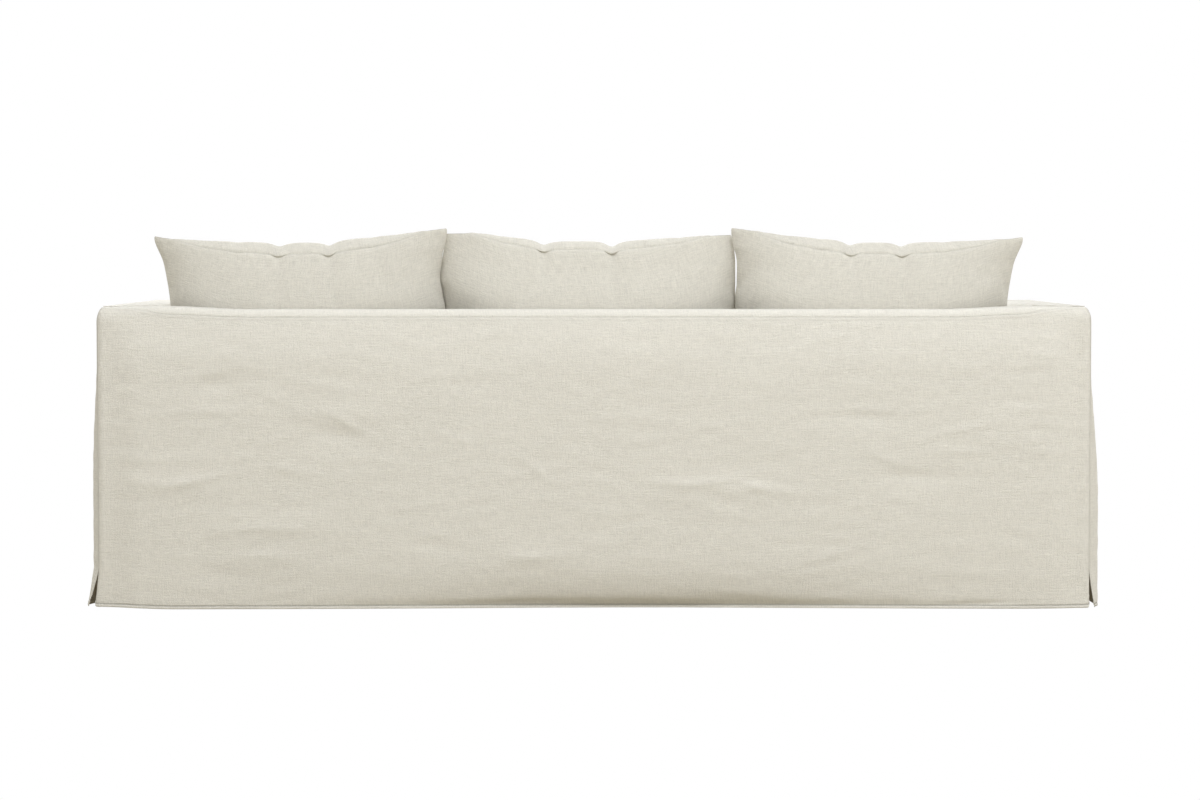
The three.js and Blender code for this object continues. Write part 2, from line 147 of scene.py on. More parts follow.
@dataclass(frozen=True)
class Shell:
    """Named sizes of the cover, as the solids have them, and the rounded form that all walls share."""

    depth: float = 0.960
    arm_top: float = 0.683
    inner_half: float = 0.990
    back_thickness: float = 0.150
    back_sag: float = 0.007
    sag_run: float = 0.200
    edge_plan: float = 0.018
    edge_top: float = 0.036
    seat_top: float = 0.425
    seat_tuck: float = 0.013
    seat_nose: float = 0.032
    back_rake: float = 0.15
    apron_setback: float = 0.012
    inner_arm_foot: float = 0.380
    inner_back_foot: float = 0.400
    vent_height: float = 0.090
    vent_curl: float = 1.1
    vent_reach: float = 0.090
    vent_turn_kept: float = 0.5
    edge_reach: float = 0.020
    seam_high: float = math.radians(80)
    seam_low: float = math.radians(33)
    seam_run: float = 0.150
    hem_height: float = 0.0072
    hem_lift_run: float = 0.160
    hem_lift_height: float = 0.2
    belly_run: float = 0.034
    belly_top: float = 0.06
    foot_corner: float = 0.008
    foot_height: float = 0.03
    corner_seam: float = math.radians(62)
    front_seam: float = math.radians(45)
    loose_run: float = 0.09
    loose_top: float = 0.07
    slip_reach: float = 0.06
    cloth: float = 0.002

    @property
    def core_depth(self) -> float:
        """Half depth of the flat top's outline."""
        return self.depth / 2 - self.edge_plan

    @property
    def inner_core(self) -> float:
        """Where the arms' flat tops end towards the seat."""
        return self.inner_half + self.edge_plan

    @property
    def rail_inner(self) -> float:
        """Depth of the back's inner face at the top rail."""
        return self.depth / 2 - self.back_thickness

    @property
    def rail_core(self) -> float:
        """Where the rail's flat top ends towards the seat."""
        return self.rail_inner + self.edge_plan

    @property
    def wall_top(self) -> float:
        """Height where the straight walls end and the top rounding starts."""
        return self.arm_top - self.edge_top

    @property
    def shift(self) -> Array:
        """Move from the floor frame to the row frame, whose origin is under the top rail's cloth."""
        rail_middle = (self.depth / 2 + self.rail_inner) / 2
        return np.array([0.0, -rail_middle, -(self.arm_top - self.back_sag - self.cloth)])

    def core_half(self, side: Side) -> float:
        """Return half the length of the flat top's outline at one end."""
        return side.half_width - self.edge_plan

    def top_at(self, x: Array) -> Array:
        """Return the height of the top: level over the arms, a little lower between them."""
        return self.arm_top - self.back_sag * smooth((self.inner_half - np.abs(x)) / self.sag_run)

    def seam_turn(self, from_corner: Array) -> Array:
        """Return how far round the top edge the seam lies, at a distance from an outer corner."""
        return mix(self.seam_high, self.seam_low, smooth(from_corner / self.seam_run))

    def inner_back_at(self, z: Array) -> Array:
        """Return the depth of the raked inner back at a height."""
        return self.rail_inner - self.back_rake * (self.wall_top - z)

    def on_edge(self, core_x: Array, core_y: Array, dx: Array, dy: Array, top: Array) -> Array:
        """Return points of a turned edge, (dx, dy) out from the core in units of the edge."""
        reach = np.minimum(1.0, np.hypot(dx, dy))
        drop = self.edge_top * (1 - np.sqrt(1 - reach * reach))
        return points(core_x + self.edge_plan * dx, core_y + self.edge_plan * dy, top - drop)

    def on_wall(
        self, core_x: Array, core_y: Array, angle: Array, row: Array, top: Array, seam: Array,
        foot: float = 0.0,
    ) -> Array:
        """Return points of a wall with a rounded top.

        Args:
            core_x: across of the core point that the wall stands off from.
            core_y: depth of that core point.
            angle: direction in plan in which the wall faces.
            row: 0 at the foot, 1 where the rounding starts, 2 at the seam.
            top: height of the flat top here.
            seam: how far round the edge the seam lies.
            foot: height of the wall's foot.

        Returns:
            The grid of points.
        """
        reach = over_edge(row, seam)
        at = self.on_edge(core_x, core_y, reach * np.cos(angle), reach * np.sin(angle), top)
        straight = mix(foot, top - self.edge_top, row)
        at[..., 2] = np.where(row <= 1, straight, at[..., 2])
        return at

    def loose(self, from_corner: Array, z: Array) -> Array:
        """Return 1 where the cloth hangs free and 0 at its seams."""
        return smooth(from_corner / self.loose_run) * smooth((self.wall_top - z) / self.loose_top)

    def lift(self, most: Array | float, from_corner: Array, z: Array) -> Array:
        """Return how far the hem is raised near a corner, where it rises by most."""
        return most * (1 - smooth(from_corner / self.hem_lift_run)) * smooth(1 - z / self.hem_lift_height)

    def vent_open(self, z: Array) -> Array:
        """Return how far a corner vent is open at a height, from 1 at the hem to 0 at its top."""
        return np.clip(1 - z / self.vent_height, 0, 1) ** self.vent_curl

    def rounded_foot(self, from_edge: Array, z: Array) -> Array:
        """Return how far the hem is raised where a panel's free corner is rounded."""
        inside = 1 - np.clip(from_edge / self.foot_corner, 0, 1)
        return self.foot_corner * (1 - np.sqrt(1 - inside**2)) * smooth(1 - z / self.foot_height)


SHELL = Shell()


def flat_share(c: Array) -> Array:
    """Return a column's share along the flat part of a wall."""
    return np.clip(c, -1.0, 1.0)


def past_corner(c: Array) -> Array:
    """Return how far round a corner a column is, from 0 to 1."""
    return np.maximum(0.0, np.abs(c) - 1.0)


# ---------------------------------------------------------------- folds and creases
@dataclass(frozen=True)
class Crease:
    """A soft ridge or broad swell, or a trough where out is negative.

    It has a middle, a tilt in degrees, a length, a width and a height, and its ends may bend upwards.
    """

    across: float
    up: float
    tilt: float
    length: float
    width: float
    out: float
    bend: float = 0.0

    def at(self, across: Array, up: Array) -> Array:
        """Return its height at places on the wall."""
        turn = math.radians(self.tilt)
        dx, dz = across - self.across, up - self.up
        along = dx * math.cos(turn) + dz * math.sin(turn)
        away = dz * math.cos(turn) - dx * math.sin(turn) - self.bend * (along / self.length) ** 2
        return self.out * bell(along, self.length / 2) * bell(away, self.width / 2)


def creases(*rows: tuple[float, ...]) -> tuple[Crease, ...]:
    """Return creases from rows of their fields, in millimetres and degrees."""
    made = []
    for across, up, tilt, *sizes in rows:
        made.append(Crease(across / MM, up / MM, tilt, *(size / MM for size in sizes)))
    return tuple(made)


BACK_FOLDS = creases(
    (955, 283, 0, 220, 68, 2.6), (729, 183, 0, 280, 68, 2.6), (740, 112, 0, 180, 56, 2.2),
    (555, 441, 0, 160, 72, 2.2), (582, 388, 0, 180, 64, -2.4), (841, 511, 0, 160, 68, -2.2),
    (141, 120, 0, 180, 60, 2.2), (-267, 270, 0, 300, 68, 2.6), (-371, 325, 0, 180, 60, -1.8),
    (-719, 300, 0, 220, 72, -2.4), (-606, 441, 0, 200, 72, -2), (-930, 400, 0, 180, 120, 2.4),
    (-80, 0, 0, 1240, 120, -21), (-110, 2, 0, 1000, 38, -14.5), (-110, 9, 0, 1000, 14, -6),
)
BACK_CREASES = creases(
    (566, 425, 29, 110, 18, 2.2), (589, 402, 8, 120, 30, -2), (899, 445, -2, 210, 20, 1.2, 4),
    (953, 337, 0, 190, 20, 1.4), (917, 289, -11, 160, 16, 2.1), (1023, 287, 0, 60, 14, 1.4),
    (740, 183, 0, 220, 18, 1.6, -3), (758, 122, 0, 150, 16, 1.8), (853, 79, 4, 120, 35, -1.8),
    (849, 509, -8, 80, 30, -1.8), (856, 536, -8, 110, 20, 1.2), (639, 511, 13, 300, 22, 1, 6),
    (729, 475, 23, 130, 20, 0.9), (322, 389, 16, 120, 18, 1.2), (144, 323, 38, 100, 18, 1.4),
    (103, 373, -25, 50, 14, 1), (148, 118, 0, 100, 16, 1.7), (698, 317, 10, 130, 18, 1.3),
    (725, 380, -14, 60, 16, 1.1), (340, 138, 8, 120, 30, -1.4), (618, 249, 0, 50, 20, -1.2),
    (272, 509, -10, 160, 40, -1), (238, 617, -15, 250, 20, 1), (205, 638, -13, 200, 18, 0.8),
    (442, 610, 14, 200, 22, 1), (-173, 285, 3, 110, 16, 1.8), (-263, 289, -5, 100, 16, 1.8, 3),
    (-354, 280, 20, 60, 16, 1.9), (-410, 268, 5, 90, 16, 1.3), (-367, 290, 0, 90, 20, -1.4),
    (-281, 253, 12, 110, 30, -1.3), (-715, 301, 3, 140, 22, -2), (-849, 411, -12, 150, 16, 1.3, 4),
    (-587, 452, 0, 200, 18, 1.2), (-616, 434, 0, 140, 20, -1.1), (-826, 357, 0, 120, 14, 1.3),
    (-655, 341, 20, 100, 16, 1.2), (-994, 633, 0, 80, 20, -1.2), (-1028, 572, 0, 70, 18, 1.2),
    (-994, 538, -3, 140, 18, -1.3), (-960, 470, 0, 70, 16, -1.1), (-982, 454, 3, 100, 16, 1),
    (-978, 407, 0, 80, 16, -1.2), (-1005, 357, 0, 80, 16, 1), (-1016, 312, 2, 80, 16, -1),
    (-1028, 267, 0, 70, 16, 0.9), (-508, 113, -17, 120, 18, 1.4), (-480, 96, -10, 60, 16, -1.1),
    (-489, 147, 0, 160, 16, -1.1), (-55, 190, -12, 150, 20, -1), (1086, 414, 0, 80, 16, 0.9),
    (1064, 366, 0, 100, 16, -0.9), (-125, 540, -20, 130, 24, 0.8), (-300, 610, 18, 160, 22, 0.9),
    (-480, 600, -14, 180, 22, 0.9), (-100, 430, 6, 180, 22, 0.7), (-330, 420, -8, 160, 20, 0.7),
    (400, 235, -10, 160, 20, 0.9), (50, 235, 12, 150, 20, 0.8), (150, 13, 0, 120, 13, -3),
    (-310, 24, 3, 140, 16, -2.2), (-870, 12, -2, 150, 11, -2.8),
)
SIDE_FOLDS = creases(
    (250, 430, 0, 300, 120, 4), (-40, 280, 0, 380, 120, -4), (-270, 420, 0, 240, 160, 3),
)
APRON_FOLDS = creases(
    (560, 210, 0, 480, 100, 3), (-80, 190, 0, 520, 100, -3), (-640, 220, 0, 440, 100, 3),
)

SIDE_CREASES = {
    "left": creases(
        (300, 470, -24, 160, 20, 1.6), (330, 300, -12, 140, 18, -1.4), (120, 560, 10, 200, 24, 1.2, 6),
        (-60, 330, 16, 180, 20, 1.8), (-110, 290, 22, 120, 24, -1.6), (-290, 500, 28, 150, 20, 1.4),
        (-330, 190, -8, 130, 18, 1.2), (40, 150, -6, 200, 22, -1.4), (220, 140, 9, 140, 18, 1.4),
        (-200, 610, -12, 180, 20, 0.8),
    ),
    "right": creases(
        (310, 500, -18, 150, 20, 1.5), (250, 360, 14, 170, 20, 1.7), (210, 320, 8, 130, 24, -1.6),
        (20, 540, -9, 210, 22, 1.1, 5), (-130, 390, -20, 160, 18, 1.6), (-300, 300, 12, 150, 20, -1.4),
        (-320, 560, 24, 130, 20, 1.2), (-50, 170, 5, 190, 22, 1.4), (330, 160, -14, 120, 18, 1.2),
        (-240, 110, 10, 140, 20, -1.2),
    ),
}
ARM_FRONT_CREASES = {
    "left": creases(
        (1055, 560, 20, 90, 18, 1.2), (1080, 400, -14, 80, 16, 1.4), (1045, 260, 10, 90, 18, -1.2),
        (1070, 120, -6, 90, 18, 1.2),
    ),
    "right": creases(
        (-1060, 520, -18, 90, 18, 1.2), (-1045, 340, 12, 80, 16, 1.3), (-1075, 220, -10, 90, 18, -1.2),
        (-1050, 100, 8, 80, 18, 1.1),
    ),
}
APRON_CREASES = creases(
    (860, 300, 32, 150, 20, 1.6), (700, 220, 6, 200, 22, 1.4), (480, 160, -8, 180, 20, -1.4),
    (260, 260, 11, 220, 22, 1.3), (40, 140, 5, 180, 18, 1.2), (-160, 280, -13, 190, 20, 1.4),
    (-380, 190, 7, 210, 22, -1.4), (-560, 300, -9, 170, 18, 1.2), (-760, 210, 14, 180, 20, 1.5),
    (-900, 290, -30, 140, 20, 1.5),
)
SEAT_CREASES = creases(
    (880, -180, 62, 180, 24, 1.8), (800, -300, 38, 150, 22, -1.6), (560, -240, 12, 240, 24, 1.4),
    (320, -330, -8, 200, 20, 1.2), (80, -200, 16, 220, 24, -1.4), (-140, -310, -10, 210, 20, 1.4),
    (-400, -230, 9, 240, 24, 1.3), (-640, -320, -14, 190, 20, -1.4), (-820, -200, -36, 160, 22, 1.6),
    (-900, -330, -60, 150, 22, 1.4),
)


def relief(forms: Sequence[Crease], across: Array, up: Array) -> Array:
    """Return the summed height of folds and creases."""
    total = np.zeros(np.broadcast(across, up).shape)
    for form in forms:
        total = total + form.at(across, up)
    return total


# ---------------------------------------------------------------- panels
class Hold(Enum):
    """How a panel of cloth is held. Every hung one has a hem and a topstitched top seam."""

    HUNG = "hung"
    STRETCHED = "stretched"


class Axes(Enum):
    """The two directions in which a panel's creases are placed."""

    ALONG_AND_UP = (0, 2)
    DEPTH_AND_UP = (1, 2)
    ALONG_AND_DEPTH = (0, 1)


@dataclass(frozen=True)
class Sewing:
    """How seams, topstitching and hems shape the cloth beside them, and the shade painted into its colour
    there.
    """

    seam_dip: float = 0.0005
    seam_reach: float = 0.0026
    # painted shade: how far the colour is darkened in the seams, at the hem's row of stitches and beside
    # the topstitching, where their grooves lie in shadow
    painted_seam_shade: float = 0.35
    shade_reach: float = 0.0014
    top_row: float = 0.0072
    top_dip: float = 0.0003
    top_painted_shade: float = 0.15
    allowance: float = 0.0003
    allowance_edge: float = 0.004
    hem_dip: float = 0.0017
    hem_painted_shade: float = 2.3
    hem_shade_reach: float = 0.0015
    row_reach: float = 0.0017
    hem_fold: float = 0.0008
    hem_fold_edge: float = 0.003
    hem_roll: float = 0.0010
    hem_roll_height: float = 0.0022
    crease_fade: float = 0.05
    rumple_fade: float = 0.02
    thread_lift: float = 0.00025
    cloth_shown: float = 0.0016

    def hem(self, up: Array) -> Array:
        """Return the doubled hem and the row of stitches that draws it in, by height above the edge."""
        doubled = self.hem_fold * (1 - smooth((up - SHELL.hem_height) / self.hem_fold_edge))
        rolled = -self.hem_roll * (1 - smooth(up / self.hem_roll_height))
        return doubled + rolled - self.hem_dip * bell(up - SHELL.hem_height, self.row_reach)

    def topstitched(self, down: Array) -> Array:
        """Return the raised seam allowance and its row of stitches, by distance from the seam."""
        raised = self.allowance * (1 - smooth((down - self.top_row) / self.allowance_edge))
        return raised - self.top_dip * bell(down - self.top_row, self.row_reach)


SEWING = Sewing()


@dataclass
class StitchRow:
    """A row of stitches: points along it and the way that the cloth faces there."""

    places: Array
    facing: Array


@dataclass
class Panel:
    """One sewn panel: its surface, its grid and how it is finished.

    The grid's columns run along the cloth and its rows run up it. seam_edges names the edges that are
    sewn to a neighbour: l and r for the first and last column, b and t for the first and last row.
    """

    node: str
    surface: Surface
    columns: Array
    rows: Array
    facing: int
    hold: Hold
    rests_on: tuple[str, ...] = ()
    seam_edges: str = "lrtb"
    creases: tuple[Crease, ...] = ()
    axes: Axes = Axes.ALONG_AND_UP
    rumple: float = 0.00012
    seed: int = 1
    outer: Array = field(init=False)
    # painted shade in the colour along seams, the hem's stitch row and the topstitching
    shade: Array = field(init=False)

    def __post_init__(self) -> None:
        """Work out the outer face, with its creases, seams and hem."""
        c, r = np.meshgrid(self.columns, self.rows, indexing="ij")
        base = self.surface(c, r)
        along, up = arc_lengths(base)
        edge = self._from_seam(along, up)
        across, rise = base[..., self.axes.value[0]], base[..., self.axes.value[1]]
        out = relief(self.creases, across, rise) * smooth(edge / SEWING.crease_fade)
        out = out + self.rumple * rumpled(along, up, self.seed) * smooth(edge / SEWING.rumple_fade)
        out = out - SEWING.seam_dip * bell(edge, SEWING.seam_reach)
        # painted shade: a darker colour along seams, hem and topstitching stands in for the shadow in their
        # grooves
        shade = SEWING.painted_seam_shade * bell(edge, SEWING.shade_reach)
        if self.hold is Hold.HUNG:
            out = out + SEWING.hem(up)
            in_row = bell(up - SHELL.hem_height, SEWING.hem_shade_reach)
            shade = np.maximum(shade, SEWING.hem_painted_shade * in_row)
            down = up[:, -1:] - up
            out = out + SEWING.topstitched(down)
            shade = np.maximum(shade, SEWING.top_painted_shade * bell(down - SEWING.top_row, SEWING.shade_reach))
        self.outer = base + (grid_normals(base) * self.facing) * out[..., None]
        self.shade = shade

    def _from_seam(self, along: Array, up: Array) -> Array:
        """Return the distance of each point from the nearest sewn edge."""
        from_edge = {"l": along, "r": along[-1:, :] - along, "b": up, "t": up[:, -1:] - up}
        return np.minimum.reduce([from_edge[edge] for edge in self.seam_edges])

    def stitch_rows(self) -> list[StitchRow]:
        """Return the rows of stitches that show on this panel."""
        if self.hold is not Hold.HUNG:
            return []
        _, up = arc_lengths(self.outer)
        heights = (np.full(len(up), SHELL.hem_height), up[:, -1] - SEWING.top_row)
        return [self._row_at(up, height) for height in heights]

    def _row_at(self, up: Array, height: Array) -> StitchRow:
        """Return the stitch row that lies at a height along each column."""
        normal = grid_normals(self.outer) * self.facing
        steps = np.arange(up.shape[1])
        at = [np.interp(h, u, steps) for h, u in zip(height, up)]
        low = np.clip(np.floor(at).astype(int), 0, up.shape[1] - 2)
        share = (np.array(at) - low)[:, None]
        column = np.arange(len(up))
        places = mix(self.outer[column, low], self.outer[column, low + 1], share)
        facing = mix(normal[column, low], normal[column, low + 1], share)
        return StitchRow(places + facing * SEWING.thread_lift, facing)

    def build(self, material: bpy.types.Material) -> None:
        obj = sheet_object(self.node + "_cloth", self.outer, self.facing, self.shade, material)
        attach(obj, BODY)
        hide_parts(self.node)


WAVES = 26
WAVES_AT_UNIT_HEIGHT = 3.4


def rumpled(along: Array, up: Array, seed: int) -> Array:
    """Return an even, soft unevenness about 1 high, drawn out along the cloth, as a sum of random waves."""
    rng = np.random.default_rng(seed)
    total = np.zeros(along.shape)
    for _ in range(WAVES):
        length = rng.uniform(0.030, 0.075)
        lean = rng.normal(0.0, 0.33)
        phase = rng.uniform(0, 2 * math.pi)
        swell = rng.uniform(0.5, 1.0)
        drift = 0.6 * np.sin(along * rng.uniform(8, 20) + rng.uniform(0, 6))
        total = total + swell * np.sin(2 * math.pi / length * (up + lean * along) + drift + phase)
    return total / math.sqrt(WAVES / WAVES_AT_UNIT_HEIGHT)


def grid_normals(grid: Array) -> Array:
    """Return unit normals of a grid of points, along columns x rows."""
    du = np.gradient(grid, axis=0)
    dv = np.gradient(grid, axis=1)
    normal = np.cross(du, dv)
    return normal / np.maximum(np.linalg.norm(normal, axis=-1, keepdims=True), 1e-12)


def arc_lengths(grid: Array) -> tuple[Array, Array]:
    """Return each point's distance along its row and up its column of the grid."""
    du = np.linalg.norm(np.diff(grid, axis=0), axis=-1)
    dv = np.linalg.norm(np.diff(grid, axis=1), axis=-1)
    along = np.concatenate([np.zeros((1, grid.shape[1])), np.cumsum(du, axis=0)])
    up = np.concatenate([np.zeros((grid.shape[0], 1)), np.cumsum(dv, axis=1)], axis=1)
    return along, up


@dataclass(frozen=True)
class Shoulder:
    """The slope of the back's cloth below the rail, which reaches lower at two soft lobes."""

    out: float = 0.0120
    above_wall: float = 0.012
    run: float = 0.115
    lobe: float = 0.045
    lobes: tuple[tuple[float, float], ...] = ((0.313, 0.13), (-0.365, 0.12))
    ease: float = 0.12
    from_corner: float = 0.08

    def at(self, x: Array, z: Array) -> Array:
        """Return how far the cloth stands out at places on the wall."""
        run = self.run
        for middle, reach in self.lobes:
            run = run + self.lobe * bell(x - middle, reach)
        down = np.clip((SHELL.wall_top + self.above_wall - z) / run, 0, 1)
        eased = (1 + self.ease) * down**2 / (down + self.ease)
        return self.out * np.sin(math.pi / 2 * np.minimum(eased, 1))


SHOULDER = Shoulder()


def outer_back(c: Array, row: Array) -> Array:
    """Return the outer back: c runs along +X and past 1 round the corner to its seam."""
    left = c >= 0
    core = np.where(left, SHELL.core_half(LEFT), SHELL.core_half(RIGHT))
    x = flat_share(c) * core
    from_corner = core - np.abs(x)
    angle = math.pi / 2 - np.sign(c) * SHELL.corner_seam * past_corner(c)
    at = SHELL.on_wall(x, SHELL.core_depth, angle, row, SHELL.top_at(x), SHELL.seam_turn(from_corner))
    z = at[..., 2].copy()
    wall = row < 1
    at[..., 1] += np.where(wall, relief(BACK_FOLDS, x, z) * SHELL.loose(from_corner, z), 0)
    at[..., 1] += SHOULDER.at(x, z) * smooth(from_corner / SHOULDER.from_corner)
    from_edge = from_corner + SHELL.edge_plan * SHELL.corner_seam * (1 - past_corner(c))
    slip = np.where(left, LEFT.back_slip, -RIGHT.back_slip) * SHELL.vent_open(z)
    at[..., 0] += np.where(wall, slip * bell(from_edge, SHELL.slip_reach), 0)
    most = np.where(left, LEFT.hem_lift, RIGHT.hem_lift)
    at[..., 2] += np.where(wall, SHELL.lift(most, from_corner, z) + SHELL.rounded_foot(from_edge, z), 0)
    return at


def outer_arm(side: Side) -> Surface:
    """Return the surface of one outer arm: c runs along +Y and round both corners."""

    def surface(c: Array, row: Array) -> Array:
        y = flat_share(c) * SHELL.core_depth
        from_corner = SHELL.core_depth - np.abs(y)
        past = past_corner(c)
        opened = SHELL.vent_open(SHELL.wall_top * row)
        turned = np.where(c > 0, math.pi / 2 - SHELL.corner_seam, -SHELL.front_seam)
        angle = turned * past * (1 - SHELL.vent_turn_kept * opened)
        seam = SHELL.seam_turn(from_corner)
        at = SHELL.on_wall(SHELL.core_half(side), y, angle, row, SHELL.arm_top, seam)
        z = at[..., 2].copy()
        belly = side.belly * smooth((side.belly_start - z) / side.belly_fall)
        settled = smooth((SHELL.wall_top - z) / SHELL.belly_top)
        out = belly * smooth(from_corner / SHELL.belly_run) * settled
        flare = side.vent_flare * bell(from_corner, SHELL.vent_reach)
        out = out + opened * (flare + side.edge_flare * bell(from_corner, SHELL.edge_reach))
        out = out + relief(SIDE_FOLDS, y, z) * SHELL.loose(from_corner, z)
        from_edge = from_corner + SHELL.edge_plan * np.abs(turned) * (1 - past)
        at[..., 0] += np.where(row < 1, out, 0)
        raised = SHELL.lift(side.hem_lift, from_corner, z) + SHELL.rounded_foot(from_edge, z)
        at[..., 2] += np.where(row < 1, raised, 0)
        at[..., 0] *= side.sign
        return at

    return surface


def arm_front(side: Side) -> Surface:
    """Return the surface of one arm's front: c runs from the seat's side to the outer side."""

    def surface(c: Array, row: Array) -> Array:
        x = mix(SHELL.inner_core, SHELL.core_half(side), (flat_share(c) + 1) / 2)
        from_outer = SHELL.core_half(side) - x
        from_corner = np.minimum(from_outer, x - SHELL.inner_core)
        turned = np.where(c > 0, SHELL.front_seam, -math.pi / 2) * past_corner(c)
        at = SHELL.on_wall(
            x, -SHELL.core_depth, turned - math.pi / 2, row, SHELL.arm_top, SHELL.seam_turn(from_corner)
        )
        at[..., 2] += np.where(row < 1, SHELL.lift(side.hem_lift, from_outer, at[..., 2]), 0)
        at[..., 0] *= side.sign
        return at

    return surface


def inner_arm(side: Side) -> Surface:
    """Return the surface of one inner arm: c runs from the front to the raked inner back."""

    def surface(c: Array, row: Array) -> Array:
        reach = over_edge(row, SHELL.seam_low)
        share = (c + 1) / 2
        seam = SHELL.seam_turn(share * (SHELL.rail_core + SHELL.core_depth))
        at = SHELL.on_wall(
            SHELL.inner_core, 0.0, math.pi, row, SHELL.arm_top + 0 * c, seam, SHELL.inner_arm_foot
        )
        rear = np.where(row > 1, SHELL.rail_core - SHELL.edge_plan * reach, SHELL.inner_back_at(at[..., 2]))
        at[..., 1] = mix(-SHELL.core_depth, rear, share)
        at[..., 0] *= side.sign
        return at

    return surface


def inner_back(c: Array, row: Array) -> Array:
    """Return the inner back: c runs along +X between the arms."""
    reach = over_edge(row, SHELL.seam_low)
    x = c * (SHELL.inner_core - SHELL.edge_plan * reach)
    top = SHELL.top_at(x)
    at = SHELL.on_wall(x, SHELL.rail_core, -math.pi / 2, row, top, SHELL.seam_low, SHELL.inner_back_foot)
    raked = SHELL.inner_back_at(at[..., 2] + SHELL.arm_top - top)
    at[..., 1] = np.where(row <= 1, raked, at[..., 1])
    at[..., 0] = x
    return at


def band_over(across: Array, outer_seam: Array, inner_seam: Array) -> Array:
    """Return how far a band is over its outer edge (positive) or its inner edge (negative)."""
    outer = np.cos(mix(outer_seam, math.pi / 2, across))
    inner = -np.cos(mix(inner_seam, math.pi / 2, 3 - across))
    return np.where(across < 1, outer, np.where(across > 2, inner, 0.0))


def over_corner(ax: Array, ay: Array) -> tuple[Array, Array]:
    """Return where a point over two edges at once lies, as a share of each edge."""
    length = np.maximum(np.hypot(ax, ay), 1e-12)
    reach = np.maximum(np.abs(ax), np.abs(ay))
    return ax * reach / length, ay * reach / length


def rail_band(c: Array, across: Array) -> Array:
    """Return the band over the back's rail: c runs along +X and its ends are mitred."""
    sign = np.where(c >= 0, 1, -1)
    core = np.where(c >= 0, SHELL.core_half(LEFT), SHELL.core_half(RIGHT))
    share = np.abs(c)
    over = band_over(across, SHELL.seam_turn(core * (1 - share)), SHELL.seam_low)
    flat = np.clip(across - 1, 0, 1)
    y = mix(SHELL.core_depth, SHELL.rail_core, flat)
    inside = SHELL.inner_core + SHELL.edge_plan * over
    x = share * np.where(over < 0, inside, mix(core, SHELL.inner_core, flat))
    mitred = np.where((share > 1 - 1e-9) & (over > 0), over, 0.0)
    dx, dy = over_corner(mitred, over)
    return SHELL.on_edge(sign * x, y, sign * dx, dy, SHELL.top_at(x))


def arm_band(side: Side) -> Surface:
    """Return the band over one arm: row runs from the mitre to the front corners and over the edge."""

    def surface(row: Array, across: Array) -> Array:
        core = SHELL.core_half(side)
        along = np.clip(row, 0, 1)
        flat = np.clip(across - 1, 0, 1)
        x = mix(core, SHELL.inner_core, flat)
        outer_y = mix(SHELL.core_depth, -SHELL.core_depth, along)
        outer_seam = SHELL.seam_turn(SHELL.core_depth - np.abs(outer_y))
        inner_seam = SHELL.seam_turn((1 - along) * (SHELL.rail_core + SHELL.core_depth))
        ax = band_over(across, outer_seam, inner_seam)
        from_corner = np.minimum(core - x, x - SHELL.inner_core)
        ay = -np.cos(mix(math.pi / 2, SHELL.seam_turn(from_corner), np.clip(row - 1, 0, 1)))
        mitred = np.where((row < 1e-9) & (ax > 0), ax, 0.0)
        dx, dy = over_corner(ax, np.where(row > 1, ay, mitred))
        tucked = np.where(ax < 0, -ax * SHELL.edge_plan, 0.0)
        y = mix(mix(SHELL.core_depth, SHELL.rail_core, flat) - tucked, -SHELL.core_depth, along)
        at = SHELL.on_edge(x, y, dx, dy, SHELL.arm_top)
        at[..., 0] *= side.sign
        return at

    return surface


SEAT_GAP = 0.0002
SEAT_HALF = SHELL.inner_half - SEAT_GAP
APRON_PLANE = -SHELL.depth / 2 + SHELL.apron_setback
TUCK_BESIDE_ARM = 0.07
TUCK_BESIDE_BACK = 0.04
APRON_HELD_TOP = 0.2


def seat_height(x: Array, from_back: Array) -> Array:
    """Return the height of the seat's cloth, tucked down beside the arms and the inner back."""
    beside_arm = 1 - smooth((SHELL.inner_half - np.abs(x)) / TUCK_BESIDE_ARM)
    beside_back = 1 - smooth(from_back / TUCK_BESIDE_BACK)
    return SHELL.seat_top - SHELL.seat_tuck * np.maximum(beside_arm, beside_back)


def seat(c: Array, row: Array) -> Array:
    """Return the seat: row runs from the foot of its nose, over it, and back to the inner back."""
    x = c * SEAT_HALF
    nose_y = APRON_PLANE + SHELL.seat_nose
    rear_y = SHELL.inner_back_at(SHELL.seat_top - SHELL.seat_tuck) - SEAT_GAP
    turn = np.clip(-row, 0, 1) * math.pi / 2
    y = np.where(row < 0, nose_y - SHELL.seat_nose * np.sin(turn), mix(nose_y, rear_y, row))
    return points(x, y, seat_height(x, rear_y - y) - SHELL.seat_nose * (1 - np.cos(turn)))


def apron(c: Array, row: Array) -> Array:
    """Return the front panel between the arms, from the hem to the foot of the seat's nose."""
    x = c * SEAT_HALF
    z = row * (seat_height(x, np.array(SHELL.depth)) - SHELL.seat_nose)
    free = smooth((SEAT_HALF - np.abs(x)) / SHELL.loose_run) * smooth((1 - row) / APRON_HELD_TOP)
    return points(x, APRON_PLANE - relief(APRON_FOLDS, x, z) * free, z)


def quads_of(ids: Array) -> Array:
    """Return the quads of a grid of vertex numbers."""
    return np.stack([ids[:-1, :-1], ids[1:, :-1], ids[1:, 1:], ids[:-1, 1:]], axis=-1).reshape(-1, 4)


